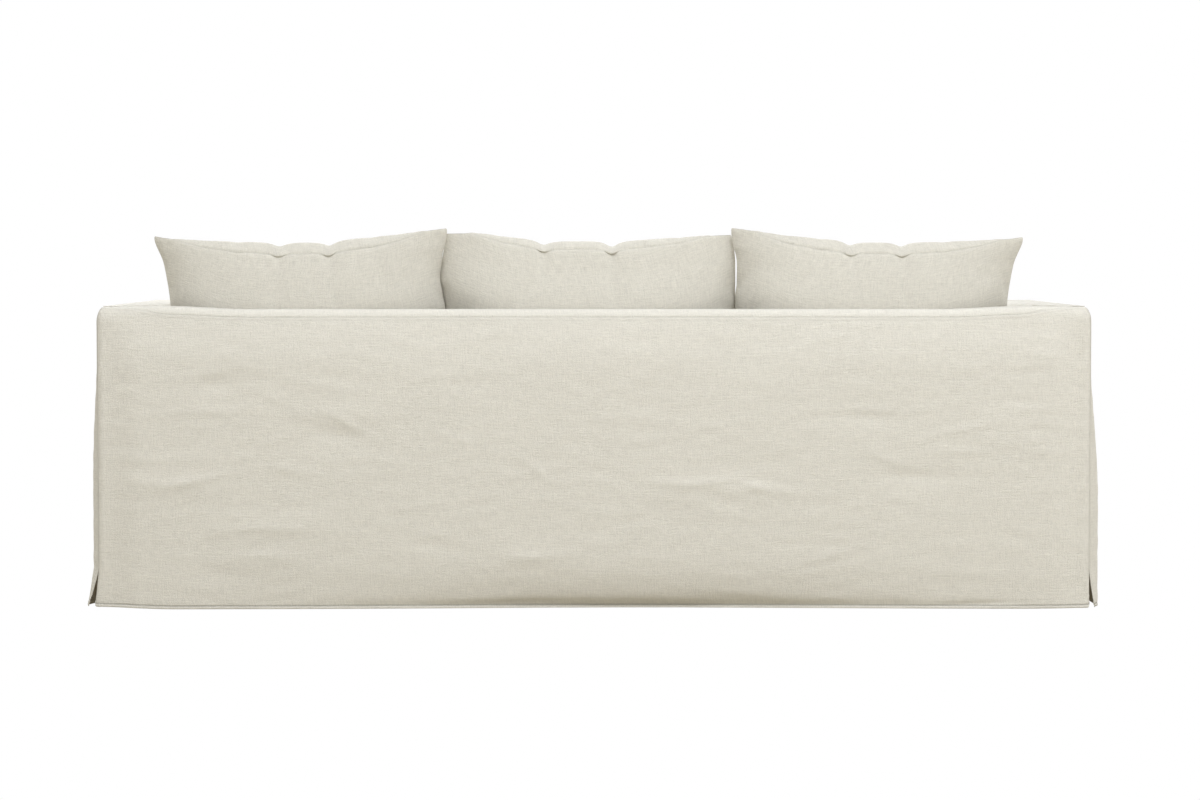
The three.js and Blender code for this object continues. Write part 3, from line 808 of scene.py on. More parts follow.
def sheet_object(
    name: str, outer: Array, facing: int, shade: Array, material: bpy.types.Material
) -> bpy.types.Object:
    """Make a closed sheet of cloth from its outer face.

    Args:
        name: the piece's name.
        outer: grid of points in the floor frame.
        facing: 1 where columns x rows points out of the face.
        shade: how much shade is painted into the colour at each point, in seams and rows of stitches.
        material: the finish.

    Returns:
        The new object, at the origin, with UVs in metres along the cloth.
    """
    inner = outer - grid_normals(outer) * facing * SEWING.cloth_shown
    along, up = arc_lengths(outer)
    behind = shade.size
    ids = np.arange(behind).reshape(shade.shape)
    rim = np.concatenate([ids[:, 0], ids[-1, 1:], ids[-2::-1, -1], ids[0, -2:0:-1]])
    following = np.roll(rim, -1)
    walls = np.stack([rim, rim + behind, following + behind, following], axis=-1)
    faces = np.concatenate([quads_of(ids), quads_of(ids)[:, ::-1] + behind, walls])
    if facing < 0:
        faces = faces[:, ::-1]
    verts = np.concatenate([outer.reshape(-1, 3), inner.reshape(-1, 3)])
    uv = np.stack([along, up], axis=-1).reshape(-1, 2)
    uv = np.concatenate([uv, uv])
    obj = mesh_object(name, verts, faces, uv[faces.ravel()], material)
    add_painted_shade(obj, np.concatenate([shade.ravel(), 0 * shade.ravel()]))
    return obj


def mesh_object(
    name: str, verts: Array, faces: Array, loop_uv: Array, material: bpy.types.Material
) -> bpy.types.Object:
    """Make a smooth-shaded object from vertices in the floor frame, quads and a UV for each corner."""
    mesh = bpy.data.meshes.new(name)
    mesh.from_pydata((verts + SHELL.shift).tolist(), [], faces.tolist())
    layer = mesh.uv_layers.new(name="cloth")
    layer.data.foreach_set("uv", loop_uv.astype(np.float32).ravel())
    mesh.polygons.foreach_set("use_smooth", [True] * len(mesh.polygons))
    mesh.materials.append(material)
    mesh.update()
    return placed(name, mesh)


def placed(name: str, data: bpy.types.ID) -> bpy.types.Object:
    """Put a new object with its mesh, lamp or camera into the scene."""
    obj = bpy.data.objects.new(name, data)
    bpy.context.scene.collection.objects.link(obj)
    return obj


def add_painted_shade(obj: bpy.types.Object, values: Array) -> None:
    """Store the shade painted into the colour at each point, darkest in seams and rows of stitches."""
    layer = obj.data.attributes.new("painted_seam_shade", "FLOAT", "POINT")
    layer.data.foreach_set("value", values.astype(np.float32))


def coordinates(mesh: bpy.types.Mesh) -> Array:
    """Return a mesh's vertices."""
    flat = np.empty(len(mesh.vertices) * 3, dtype=np.float64)
    mesh.vertices.foreach_get("co", flat)
    return flat.reshape(-1, 3)


def evaluated_mesh(obj: bpy.types.Object) -> bpy.types.Mesh:
    """Return a plain copy of an object's mesh with its modifiers worked in."""
    graph = bpy.context.evaluated_depsgraph_get()
    return bpy.data.meshes.new_from_object(obj.evaluated_get(graph))


def work_in(obj: bpy.types.Object, modifier: bpy.types.Modifier) -> None:
    """Give an object the mesh that its modifier makes, and remove the modifier."""
    mesh = evaluated_mesh(obj)
    obj.modifiers.remove(modifier)
    before = obj.data
    obj.data = mesh
    bpy.data.meshes.remove(before)


# ---------------------------------------------------------------- finish
class Tree:
    """Small helper that adds nodes to one node tree, sets them and links them."""

    def __init__(self, tree: bpy.types.NodeTree) -> None:
        """Keep the tree's nodes and links."""
        self.nodes = tree.nodes
        self.link = tree.links.new

    def fill(self, node: bpy.types.Node, inputs: Inputs) -> None:
        """Set a node's inputs, each to a plain value or by a link from another node's output."""
        for name, value in inputs.items():
            if isinstance(value, bpy.types.NodeSocket):
                self.link(value, node.inputs[name])
            else:
                node.inputs[name].default_value = value

    def add(
        self, kind: str, inputs: Inputs | None = None, **choices: str
    ) -> bpy.types.bpy_prop_collection:
        """Add a node.

        Args:
            kind: the node's type.
            inputs: values and links for its inputs, by name or number.
            choices: the node's own settings.

        Returns:
            The node's outputs.
        """
        node = self.nodes.new(kind)
        for name, value in choices.items():
            setattr(node, name, value)
        self.fill(node, inputs or {})
        return node.outputs

    def seen_or_lit(self, kind: str, lit: bpy.types.NodeSocket, end: bpy.types.Node) -> None:
        """Finish a tree so that a plain white of some kind is seen, while lit gives and takes the light."""
        seen = self.add("ShaderNodeLightPath")["Is Camera Ray"]
        white = self.add(kind, {"Color": WHITE})[0]
        self.fill(end, {"Surface": self.add("ShaderNodeMixShader", {0: seen, 1: lit, 2: white})[0]})


class Finish(Tree):
    """The node tree of one material, around its Principled shader."""

    def __init__(self, name: str) -> None:
        """Start a material."""
        self.material = bpy.data.materials.new(name)
        self.material.use_nodes = True
        super().__init__(self.material.node_tree)
        self.shader = self.nodes["Principled BSDF"]
        self.coords = self.add("ShaderNodeTexCoord")

    def maths(self, kind: str, *values: float | bpy.types.NodeSocket) -> bpy.types.NodeSocket:
        """Return the result of a maths node on sockets or numbers."""
        return self.add("ShaderNodeMath", dict(enumerate(values)), operation=kind)[0]

    def noise(self, along: float, up: float, detail: float, offset: float) -> bpy.types.NodeSocket:
        """Return noise about 0 with its own scale, a metre, along and up the cloth."""
        place = self.add("ShaderNodeMapping", {
            "Vector": self.coords["UV"], "Scale": (along, up, 1.0),
            "Location": (offset, offset * 1.7, offset),
        })
        cloud = self.add("ShaderNodeTexNoise", {
            "Scale": 1.0, "Detail": detail, "Roughness": 0.6, "Vector": place["Vector"],
        })
        return self.maths("SUBTRACT", cloud["Fac"], 0.5)

    def tint(self, base: Colour, amount: bpy.types.NodeSocket) -> None:
        """Give the shader a colour scaled by an amount."""
        tone = self.add("ShaderNodeVectorMath", {0: base, "Scale": amount}, operation="SCALE")
        self.fill(self.shader, {"Base Color": tone["Vector"]})

    def bump(
        self, height: bpy.types.NodeSocket, distance: float, **under: bpy.types.NodeSocket
    ) -> bpy.types.NodeSocket:
        """Return a normal bent by a height, on top of another one where Normal gives it."""
        return self.add("ShaderNodeBump", {"Distance": distance, "Height": height, **under})["Normal"]


@dataclass(frozen=True)
class Linen:
    """Washed plain-weave linen with thick and thin threads both ways.

    Each thread pattern is its noise's scale along and up the cloth, its detail and its offset.
    """

    name: str
    base: Colour
    slub: float = 0.23
    thread: float = 0.22
    mottle: float = 0.05
    # painted shade: how much the colour darkens in seams and stitch rows, standing in for their shadow
    painted_shade_strength: float = 0.20
    roughness: float = 0.92
    gloss: float = 0.22
    sheen: float = 0.12
    sheen_roughness: float = 0.6
    pitch: float = 0.0011
    weave_bump: float = 0.00022
    slub_bump: float = 0.0009
    weft: Pattern = (55.0, 270.0, 2.0, 3.0)
    warp: Pattern = (310.0, 40.0, 2.0, 11.0)
    thick_weft: Pattern = (14.0, 260.0, 1.0, 23.0)
    thick_share: float = 0.45
    grain: Pattern = (380.0, 380.0, 1.0, 5.0)
    cloudy: Pattern = (9.0, 14.0, 2.0, 19.0)

    def material(self) -> bpy.types.Material:
        """Build the node tree, which reads the cloth's own UVs in metres."""
        tree = Finish(self.name)
        tree.fill(tree.shader, {
            "Roughness": self.roughness, "Specular IOR Level": self.gloss,
            "Sheen Weight": self.sheen, "Sheen Roughness": self.sheen_roughness,
        })
        slubs = tree.maths("ADD", tree.noise(*self.weft), tree.noise(*self.warp))
        thick = tree.maths("MULTIPLY", tree.noise(*self.thick_weft), self.thick_share)
        slubs = tree.maths("ADD", slubs, thick)
        grain = tree.noise(*self.grain)
        # painted shade: the seam attribute darkens the colour along seams and stitch rows
        seam = tree.add("ShaderNodeAttribute", attribute_name="painted_seam_shade")["Fac"]
        tone = tree.maths("MULTIPLY_ADD", slubs, self.slub, 1.0)
        tone = tree.maths("MULTIPLY_ADD", grain, self.thread, tone)
        tone = tree.maths("MULTIPLY_ADD", tree.noise(*self.cloudy), self.mottle, tone)
        tree.tint(self.base, tree.maths("MULTIPLY_ADD", seam, -self.painted_shade_strength, tone))
        soft = tree.bump(tree.maths("ADD", slubs, grain), self.slub_bump)
        tree.fill(tree.shader, {"Normal": tree.bump(self._threads(tree), self.weave_bump, Normal=soft)})
        return tree.material

    def _threads(self, tree: Finish) -> bpy.types.NodeSocket:
        """Return the over and under of the single threads."""
        split = tree.add("ShaderNodeSeparateXYZ", {0: tree.coords["UV"]})
        turns = math.pi / self.pitch
        waves = [tree.maths("SINE", tree.maths("MULTIPLY", split[axis], turns)) for axis in "XY"]
        return tree.maths("MULTIPLY", *waves)


@dataclass(frozen=True)
class Thread:
    """Twisted sewing thread, a little paler than the cloth."""

    name: str
    base: Colour
    roughness: float = 0.75
    twist: float = 900.0
    darkest: float = 0.92
    contrast: float = 0.16

    def material(self) -> bpy.types.Material:
        """Build the node tree, with the twist as fine slanting bands."""
        tree = Finish(self.name)
        tree.fill(tree.shader, {"Roughness": self.roughness})
        band = tree.add("ShaderNodeTexWave", {"Scale": self.twist, "Vector": tree.coords["Object"]},
                        bands_direction="DIAGONAL")
        tree.tint(self.base, tree.maths("MULTIPLY_ADD", band["Fac"], self.contrast, self.darkest))
        return tree.material


# ---------------------------------------------------------------- pillows
def soft_curve(at: Array, value: Array, where: Array) -> Array:
    """Return a smooth curve through points, without overshoot (monotone cubic)."""
    step = np.diff(at)
    slope = np.diff(value) / step
    turning = slope[:-1] * slope[1:] <= 0
    inner = np.where(turning, 0.0, 2 * slope[:-1] * slope[1:] / (slope[:-1] + slope[1:] + turning))
    tangent = np.concatenate([slope[:1], inner, slope[-1:]])
    k = np.clip(np.searchsorted(at, where, side="right") - 1, 0, len(step) - 1)
    u = np.clip((where - at[k]) / step[k], 0, 1)
    a = (1 + 2 * u) * (1 - u) ** 2 * value[k] + u * (1 - u) ** 2 * step[k] * tangent[k]
    b = u * u * (3 - 2 * u) * value[k + 1] + u * u * (u - 1) * step[k] * tangent[k + 1]
    return a + b


def line_at(line: Line, where: Array) -> Array:
    """Return the value of a line given by points in any order."""
    table = np.array(sorted(line))
    return soft_curve(table[:, 0], table[:, 1], where)


def line(*places: tuple[float, float]) -> Line:
    """Return a line from its points in millimetres."""
    return tuple((at / MM, value / MM) for at, value in places)


# share of the depth (to the front is negative) and share of the height, from the foot to the top seam
FRONT_SECTION: Line = (
    (0.00, 0.000), (-0.62, 0.000), (-0.88, 0.050), (-1.00, 0.220), (-0.99, 0.450), (-0.84, 0.680),
    (-0.58, 0.860), (-0.33, 0.955), (-0.10, 0.995), (0.10, 0.993), (0.27, 0.965), (0.40, 0.930),
)
BACK_SECTION: Line = (
    (0.00, 0.000), (0.62, 0.000), (0.90, 0.060), (1.00, 0.240), (1.00, 0.450), (0.95, 0.600), (0.80, 0.740),
    (0.58, 0.860), (0.40, 0.930),
)
# distance below the crest, and how far a pillow's side is drawn in there from the tip of its ear
FREE_SIDE = line(
    (0, 4.5), (3, 1.5), (8, 1.5), (22, 5), (36, 11), (50, 17), (64, 21.5), (91, 26.5), (120, 31),
    (151, 34), (200, 37), (430, 38),
)
LEFT_TO_MIDDLE = line(
    (0, 4), (3, 1.2), (10, 1.2), (44, 6.5), (53, 10.5), (85, 14.5), (113, 18), (153, 11.5), (190, 6.5),
    (430, 5),
)
MIDDLE_TO_LEFT = line(
    (0, 0), (32, -5.5), (74, -13.5), (101, -17), (141, -11.5), (178, -7), (430, -4),
)
MIDDLE_TO_RIGHT = line(
    (0, 0), (20, -4.8), (40, -8.8), (70, -11.2), (130, -11.5), (165, -12.5), (200, -12), (430, -7),
)
RIGHT_TO_MIDDLE = line(
    (0, 4), (3, 1.2), (10, 1.2), (44, 5.5), (60, 11.5), (85, 15), (130, 14.5), (160, 11.5), (200, 12),
    (430, 10),
)


@dataclass(frozen=True)
class Gather:
    """A place where a pillow's top seam is drawn in, with a trough and two slanting ridges below it."""

    across: float
    depth: float
    reach: float
    tip_round: float = 1.0e-5
    trough: float = 0.42
    trough_width: float = 0.012
    trough_spread: float = 0.16
    trough_fade: float = 0.045
    ridge: float = 0.14
    ridge_above: float = 0.03
    ridge_width: float = 0.010
    ridge_spread: float = 0.08
    ridge_fade: float = 0.060
    ridge_leans: tuple[float, float] = (-0.42, 0.36)


@dataclass(frozen=True)
class Filling:
    """How the filling presses a pillow's cloth out, and how much of that shows."""

    pressure: float = 4.0
    frames: int = 20
    spare: float = 0.03
    cap: float = 0.022
    swell_kept: float = 0.25
    ripple_kept: float = 0.60
    soften_passes: int = 60
    quality: int = 6
    bending: float = 0.6
    seam_still: float = 0.85
    still_from: float = 0.70
    still_run: float = 0.22

    def looseness(self, rows: Array) -> Array:
        """Return the share of the cloth's move that shows, less towards the top seam."""
        return 1 - self.seam_still * ramp(rows, self.still_from, self.still_run)

    def press(self, obj: bpy.types.Object, ring: Array, held: Array, loose: Array) -> None:
        """Press the cloth out with Blender's cloth simulation and apply the result.

        Args:
            obj: the pillow, whose mesh is changed.
            ring: vertex numbers of the grid that goes round the pillow, columns first.
            held: vertex numbers that stay where they are.
            loose: for each vertex, the share of its move that shows.
        """
        start = coordinates(obj.data)
        group = obj.vertex_groups.new(name="held")
        group.add(held.tolist(), 1.0, "REPLACE")
        cloth = obj.modifiers.new("filling", "CLOTH")
        settings = cloth.settings
        settings.quality = self.quality
        settings.use_pressure = True
        settings.uniform_pressure_force = self.pressure
        settings.effector_weights.gravity = 0.0
        settings.vertex_group_mass = group.name
        settings.shrink_min = -self.spare
        settings.bending_stiffness = self.bending
        cloth.collision_settings.use_collision = False
        for frame in range(1, self.frames + 1):
            bpy.context.scene.frame_set(frame)
        pressed = evaluated_mesh(obj)
        moved = (coordinates(pressed) - start)[ring]
        bpy.data.meshes.remove(pressed)
        obj.modifiers.remove(cloth)
        obj.vertex_groups.remove(group)
        bpy.context.scene.frame_set(1)
        broad = self._softened(moved)
        offset = self.swell_kept * broad + self.ripple_kept * (moved - broad)
        offset = offset * loose[ring][..., None]
        length = np.linalg.norm(offset, axis=-1, keepdims=True)
        offset = offset * np.minimum(1.0, self.cap / np.maximum(length, 1e-9))
        start[ring] = start[ring] + offset
        obj.data.vertices.foreach_set("co", start.astype(np.float32).ravel())
        obj.data.update()
        LOG.info("%s: filling moved its cloth by up to %.1f mm", obj.name, MM * float(length.max()))

    def _softened(self, values: Array) -> Array:
        """Return the broad part of values on the ring grid."""
        for _ in range(self.soften_passes):
            values = (np.roll(values, 1, axis=1) + 2 * values + np.roll(values, -1, axis=1)) / 4
            wider = np.concatenate([values[:1], values, values[-1:]])
            values = (wider[:-2] + 2 * wider[1:-1] + wider[2:]) / 4
        return values


@dataclass
class Pillow:
    """One filled back pillow, slumped so that its top seam lies behind and below its crest.

    low and high are its ends across, low_side and high_side the way its sides are drawn in there. The
    pairs of numbers below are where a soft step starts and how far it runs.
    """

    node: str
    low: float
    high: float
    low_side: Line
    high_side: Line
    back: float
    crest: Line
    gathers: tuple[Gather, ...]
    seed: int
    seam_lift: float = 0.0
    front: float = 0.104
    foot_round: float = 0.022

    COLUMNS = 100
    ROWS = runs((0.0, 0), (0.85, 32), (0.985, 12), (1.0, 5))
    SPREAD = math.radians(80)
    FOOT = SHELL.seat_top + 0.0006
    FOOT_SHARE = 0.10
    FROM_BACK = 0.003
    NOMINAL_HEIGHT = 0.42
    FLAT_END = 4
    PLUMP_END = 3.2
    PLUMP_ROUND = 0.62
    FRONT_TO_BACK = (-0.3, 0.6)
    LIFT_UP = (0.80, 0.13)
    LIFT_OUT = (-0.1, 0.4)
    GATHER_UP = (0.55, 0.40)
    GATHER_START = 0.01
    SEAM_DIP = 0.0013
    SEAM_REACH = 0.0030
    SEAM_PUFF = 0.0007
    PUFF_AT = 0.010
    PUFF_REACH = 0.0080
    PUCKER_SHARE = 1.6
    # painted shade: how far the colour is darkened along the top seam, for the shadow in its groove
    SEAM_PAINTED_SHADE = 0.50
    SHADE_REACH = 0.0016
    PUCKER_LENGTHS = (0.011, 0.017, 0.026, 0.041)
    REAR_UV = 1.3

    def drawn_in(self, x: Array) -> Array:
        """Return how far the gathers pull the top line down."""
        total = np.zeros(np.shape(x))
        for g in self.gathers:
            total = total + g.depth * np.exp(-np.sqrt((x - g.across) ** 2 + g.tip_round) / g.reach)
        return total

    def gathered(self, x: Array, below: Array) -> Array:
        """Return the troughs and small ridges that run down a face from each gather."""
        total = np.zeros(np.shape(x))
        for g in self.gathers:
            away = x - g.across
            trough = bell(away, g.trough_width + g.trough_spread * below)
            total = total - g.trough * g.depth * trough * np.exp(-below / g.trough_fade)
            for lean in g.ridge_leans:
                width = g.ridge_width + g.ridge_spread * below
                ridge = bell(away - lean * (below + g.ridge_above), width)
                total = total + g.ridge * g.depth * ridge * np.exp(-below / g.ridge_fade)
        return total

    def rise(self, section: Line, t: Array, middle: Array) -> tuple[Array, Array]:
        """Return how far out and how far up a face's section is, at shares t of its length.

        Args:
            section: the face's section.
            t: share of the way from the foot's middle line to the top seam.
            middle: 1 halfway along the pillow and 0 at its ends, where the section is flat.

        Returns:
            The shares of the depth and of the height.
        """
        table = np.array(section)
        step = np.hypot(np.diff(table[:, 0]) * self.front, np.diff(table[:, 1]) * self.NOMINAL_HEIGHT)
        reached = np.concatenate([[0.0], np.cumsum(step)]) / step.sum()
        out = soft_curve(reached, table[:, 0], t)
        up = soft_curve(reached, table[:, 1], t)
        seam_near = ramp(up, *self.LIFT_UP) * ramp(out, *self.LIFT_OUT)
        return out, mix(t, up + self.seam_lift / self.NOMINAL_HEIGHT * seam_near, middle)

    def face(self, section: Line, sign: int) -> Array:
        """Return one face as a grid from the foot's middle line to the top seam.

        Args:
            section: the face's section.
            sign: 1 for the back face and -1 for the front face.

        Returns:
            Points in the floor frame.
        """
        turn = np.linspace(-1, 1, self.COLUMNS + 1) * self.SPREAD
        s, t = np.meshgrid(np.sin(turn) / math.sin(self.SPREAD), self.ROWS, indexing="ij")
        ends = np.abs(s)
        middle = 1 - ends**self.FLAT_END
        out, up = self.rise(section, t, middle)
        up = up / self.rise(FRONT_SECTION, t, middle)[1].max(axis=1, keepdims=True)
        crest = line_at(self.crest, mix(self.low, self.high, (s + 1) / 2))
        z = self.FOOT + up * (crest - self.FOOT)
        rounded = self.foot_round * np.exp(-(z - self.FOOT) / self.foot_round)
        below = np.maximum(crest - z, 0)
        low = self.low + line_at(self.low_side, below) + rounded
        high = self.high - line_at(self.high_side, below) - rounded
        x = mix(low, high, (s + 1) / 2)
        plump = (1 - ends**self.PLUMP_END) ** self.PLUMP_ROUND
        depth = mix(self.front, self.back, ramp(out, *self.FRONT_TO_BACK))
        plane = SHELL.inner_back_at(self.FOOT) - self.back - self.FROM_BACK
        y = plane + SHELL.back_rake * (z - self.FOOT) + out * depth * plump
        y = y + sign * self.gathered(x, below) * middle * smooth(below / self.GATHER_START)
        z = z - self.drawn_in(x) * ramp(up, *self.GATHER_UP) * middle
        return points(x, y, z)

    def build(self, material: bpy.types.Material, filling: Filling) -> bpy.types.Object:
        """Make the pillow as one closed mesh whose two faces share their seams.

        Args:
            material: the finish.
            filling: how it is pressed out.

        Returns:
            The new object.
        """
        front, back = self.face(FRONT_SECTION, -1), self.face(BACK_SECTION, 1)
        columns, rows = front.shape[:2]
        shared = np.zeros((columns, rows), dtype=bool)
        shared[[0, -1], :] = True
        shared[:, [0, -1]] = True
        front[shared] = ((front + back) / 2)[shared]
        ids = np.arange(columns * rows).reshape(columns, rows)
        rear_ids = np.where(shared, ids, 0)
        rear_ids[~shared] = columns * rows + np.arange(int((~shared).sum()))
        faces = np.concatenate([quads_of(ids), quads_of(rear_ids)[:, ::-1]])
        cells = np.concatenate([quads_of(ids), quads_of(ids)[:, ::-1] + ids.size])
        uv = [np.stack(arc_lengths(grid), axis=-1).reshape(-1, 2) for grid in (front, back)]
        loop_uv = np.concatenate([uv[0], uv[1] + np.array([0.0, self.REAR_UV])])[cells.ravel()]
        verts = np.concatenate([front.reshape(-1, 3), back[~shared]])
        obj = mesh_object(self.node + "_cloth", verts, faces, loop_uv, material)
        ring = np.concatenate([ids, rear_ids[:, -2:0:-1]], axis=1)
        foot = self.ROWS < self.FOOT_SHARE
        held = [ids[:, -1], ids[0], ids[-1], ids[:, foot].ravel(), rear_ids[:, foot].ravel()]
        loose = np.empty(len(verts))
        loose[ids] = loose[rear_ids] = filling.looseness(self.ROWS)
        filling.press(obj, ring, np.unique(np.concatenate(held)), loose)
        from_seam = np.empty(len(verts))
        for table, grid in ((ids, front), (rear_ids, back)):
            up = arc_lengths(grid)[1]
            from_seam[table] = up[:, -1:] - up
        self._sew(obj, from_seam)
        # painted shade: darker colour along the top seam
        add_painted_shade(obj, self.SEAM_PAINTED_SHADE * bell(from_seam, self.SHADE_REACH))
        finer = obj.modifiers.new("finer", "SUBSURF")
        finer.levels = finer.render_levels = 1
        work_in(obj, finer)
        return obj

    def _sew(self, obj: bpy.types.Object, from_seam: Array) -> None:
        """Draw the top seam in, with small puckers along it, and let the cloth puff beside it."""
        at = coordinates(obj.data)
        normal = np.empty(len(at) * 3)
        obj.data.vertices.foreach_get("normal", normal)
        rng = np.random.default_rng(self.seed)
        pucker = np.zeros(len(at))
        for length in self.PUCKER_LENGTHS:
            wave = np.sin(2 * math.pi / length * at[:, 0] + rng.uniform(0, 6))
            pucker = pucker + wave / len(self.PUCKER_LENGTHS)
        dip = self.SEAM_DIP * bell(from_seam, self.SEAM_REACH)
        swell = self.SEAM_PUFF * (1 + self.PUCKER_SHARE * pucker)
        puff = swell * bell(from_seam - self.PUFF_AT, self.PUFF_REACH)
        at = at + normal.reshape(-1, 3) * (puff - dip)[:, None]
        obj.data.vertices.foreach_set("co", at.astype(np.float32).ravel())
        obj.data.update()


PILLOWS = (
    Pillow(
        "pillow_left", 0.341, 1.021, LEFT_TO_MIDDLE, FREE_SIDE, 0.078,
        line((1021, 844), (990, 838.5), (930, 834.5), (790, 830.5), (660, 829.5), (560, 837.5),
             (430, 850.5), (341, 862)),
        (Gather(0.827, 0.0030, 0.010), Gather(0.731, 0.0130, 0.016), Gather(0.615, 0.0140, 0.013),
         Gather(0.517, 0.0020, 0.010)), 31,
    ),
    Pillow(
        "pillow_middle", -0.315, 0.345, MIDDLE_TO_RIGHT, MIDDLE_TO_LEFT, 0.094,
        line((345, 850), (285, 850.5), (190, 841), (60, 832.5), (-40, 832.5), (-180, 840.5),
             (-280, 845.5), (-315, 847)),
        (Gather(0.120, 0.0150, 0.016), Gather(-0.038, 0.0190, 0.013), Gather(-0.194, 0.0020, 0.010)), 32,
        seam_lift=0.014,
    ),
    Pillow(
        "pillow_right", -0.992, -0.313, FREE_SIDE, RIGHT_TO_MIDDLE, 0.078,
        line((-313, 863), (-440, 845.5), (-540, 837), (-650, 829.5), (-750, 830), (-880, 833.5),
             (-960, 837.5), (-992, 842)),
        (Gather(-0.518, 0.0025, 0.010), Gather(-0.589, 0.0140, 0.014), Gather(-0.708, 0.0140, 0.013),
         Gather(-0.805, 0.0025, 0.010)), 33,
    ),
)


# ---------------------------------------------------------------- stitches
@dataclass(frozen=True)
class Stitching:
    """Rows of lockstitch along the hems and beside the top seams, made by Geometry Nodes."""

    pitch: float = 0.0036
    length: float = 0.0027
    width: float = 0.0007
    height: float = 0.0005

    def build(self, rows: Sequence[StitchRow], material: bpy.types.Material) -> None:
        """Make every stitch of the cover as one plain mesh."""
        obj = self._paths(rows)
        tree, sockets = self._tree(material)
        modifier = obj.modifiers.new("stitch_rows", "NODES")
        modifier.node_group = tree
        for name, value in self._sizes().items():
            modifier[sockets[name]] = value
        work_in(obj, modifier)
        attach(obj, BODY)
        LOG.info("stitches: %d faces", len(obj.data.polygons))

    def _sizes(self) -> dict[str, float]:
        """Return the tree's named inputs."""
        return {"Pitch": self.pitch, "Length": self.length, "Width": self.width, "Height": self.height}

    def _paths(self, rows: Sequence[StitchRow]) -> bpy.types.Object:
        """Return an object of open polylines that carry the direction in which the cloth faces."""
        places = np.concatenate([row.places for row in rows]) + SHELL.shift
        facing = np.concatenate([row.facing for row in rows])
        ends = np.cumsum([len(row.places) for row in rows])
        firsts = np.setdiff1d(np.arange(len(places) - 1), ends - 1)
        mesh = bpy.data.meshes.new("stitches")
        mesh.from_pydata(places.tolist(), np.stack([firsts, firsts + 1], axis=-1).tolist(), [])
        layer = mesh.attributes.new("facing", "FLOAT_VECTOR", "POINT")
        layer.data.foreach_set("vector", facing.astype(np.float32).ravel())
        return placed("stitches", mesh)

    def _tree(self, material: bpy.types.Material) -> tuple[bpy.types.NodeTree, dict[str, str]]:
        """Return the node tree and the identifiers of its named inputs."""
        group = bpy.data.node_groups.new("stitch_rows", "GeometryNodeTree")
        group.is_modifier = True
        for way in ("INPUT", "OUTPUT"):
            group.interface.new_socket("Geometry", in_out=way, socket_type="NodeSocketGeometry")
        sockets = {}
        for name, value in self._sizes().items():
            socket = group.interface.new_socket(name, in_out="INPUT", socket_type="NodeSocketFloat")
            socket.default_value = value
            sockets[name] = socket.identifier
        tree = Tree(group)
        given = tree.add("NodeGroupInput")
        curve = tree.add("GeometryNodeMeshToCurve", {"Mesh": given["Geometry"]})
        dots = tree.add("GeometryNodeCurveToPoints", {
            "Curve": curve["Curve"], "Length": given["Pitch"],
        }, mode="LENGTH")
        along = tree.add("FunctionNodeAlignRotationToVector", {"Vector": dots["Tangent"]}, axis="X")
        faced = tree.add("GeometryNodeInputNamedAttribute", {"Name": "facing"}, data_type="FLOAT_VECTOR")
        upright = tree.add("FunctionNodeAlignRotationToVector", {
            "Rotation": along["Rotation"], "Vector": faced["Attribute"],
        }, axis="Z", pivot_axis="X")
        grain = tree.add("GeometryNodeMeshUVSphere", {"Segments": 6, "Rings": 3, "Radius": 0.5})
        size = tree.add("ShaderNodeCombineXYZ", {
            "X": given["Length"], "Y": given["Width"], "Z": given["Height"],
        })
        stitches = tree.add("GeometryNodeInstanceOnPoints", {
            "Points": dots["Points"], "Instance": grain["Mesh"], "Rotation": upright["Rotation"],
            "Scale": size["Vector"],
        })
        real = tree.add("GeometryNodeRealizeInstances", {"Geometry": stitches["Instances"]})
        dyed = tree.add("GeometryNodeSetMaterial", {"Geometry": real["Geometry"], "Material": material})
        tree.add("NodeGroupOutput", {"Geometry": dyed["Geometry"]})
        return group, sockets


# ---------------------------------------------------------------- the cover
FINE_EDGE = 0.02


def finer_ends(half: float, coarse: int) -> Array:
    """Return columns from -1 to 1 that are finer close to both ends."""
    near = FINE_EDGE / half
    return runs((-1, 0), (-1 + near, 5), (1 - near, coarse), (1, 5))


def wall_columns(half: float, coarse: int) -> Array:
    """Return a wall's columns, with the corners' turns at both ends."""
    near = FINE_EDGE / half
    return runs((-2, 0), (-1, 7), (-1 + near, 3), (1 - near, coarse), (1, 3), (2, 7))


def wall_rows(coarse: int) -> Array:
    """Return an outer wall's rows from the hem, where they are finest, to the top seam."""
    hem, above_hem = 0.015 / SHELL.wall_top, 0.03 / SHELL.wall_top
    return runs((0, 0), (hem, 12), (above_hem, 4), (1, coarse), (1.70, 8), (2, 9))


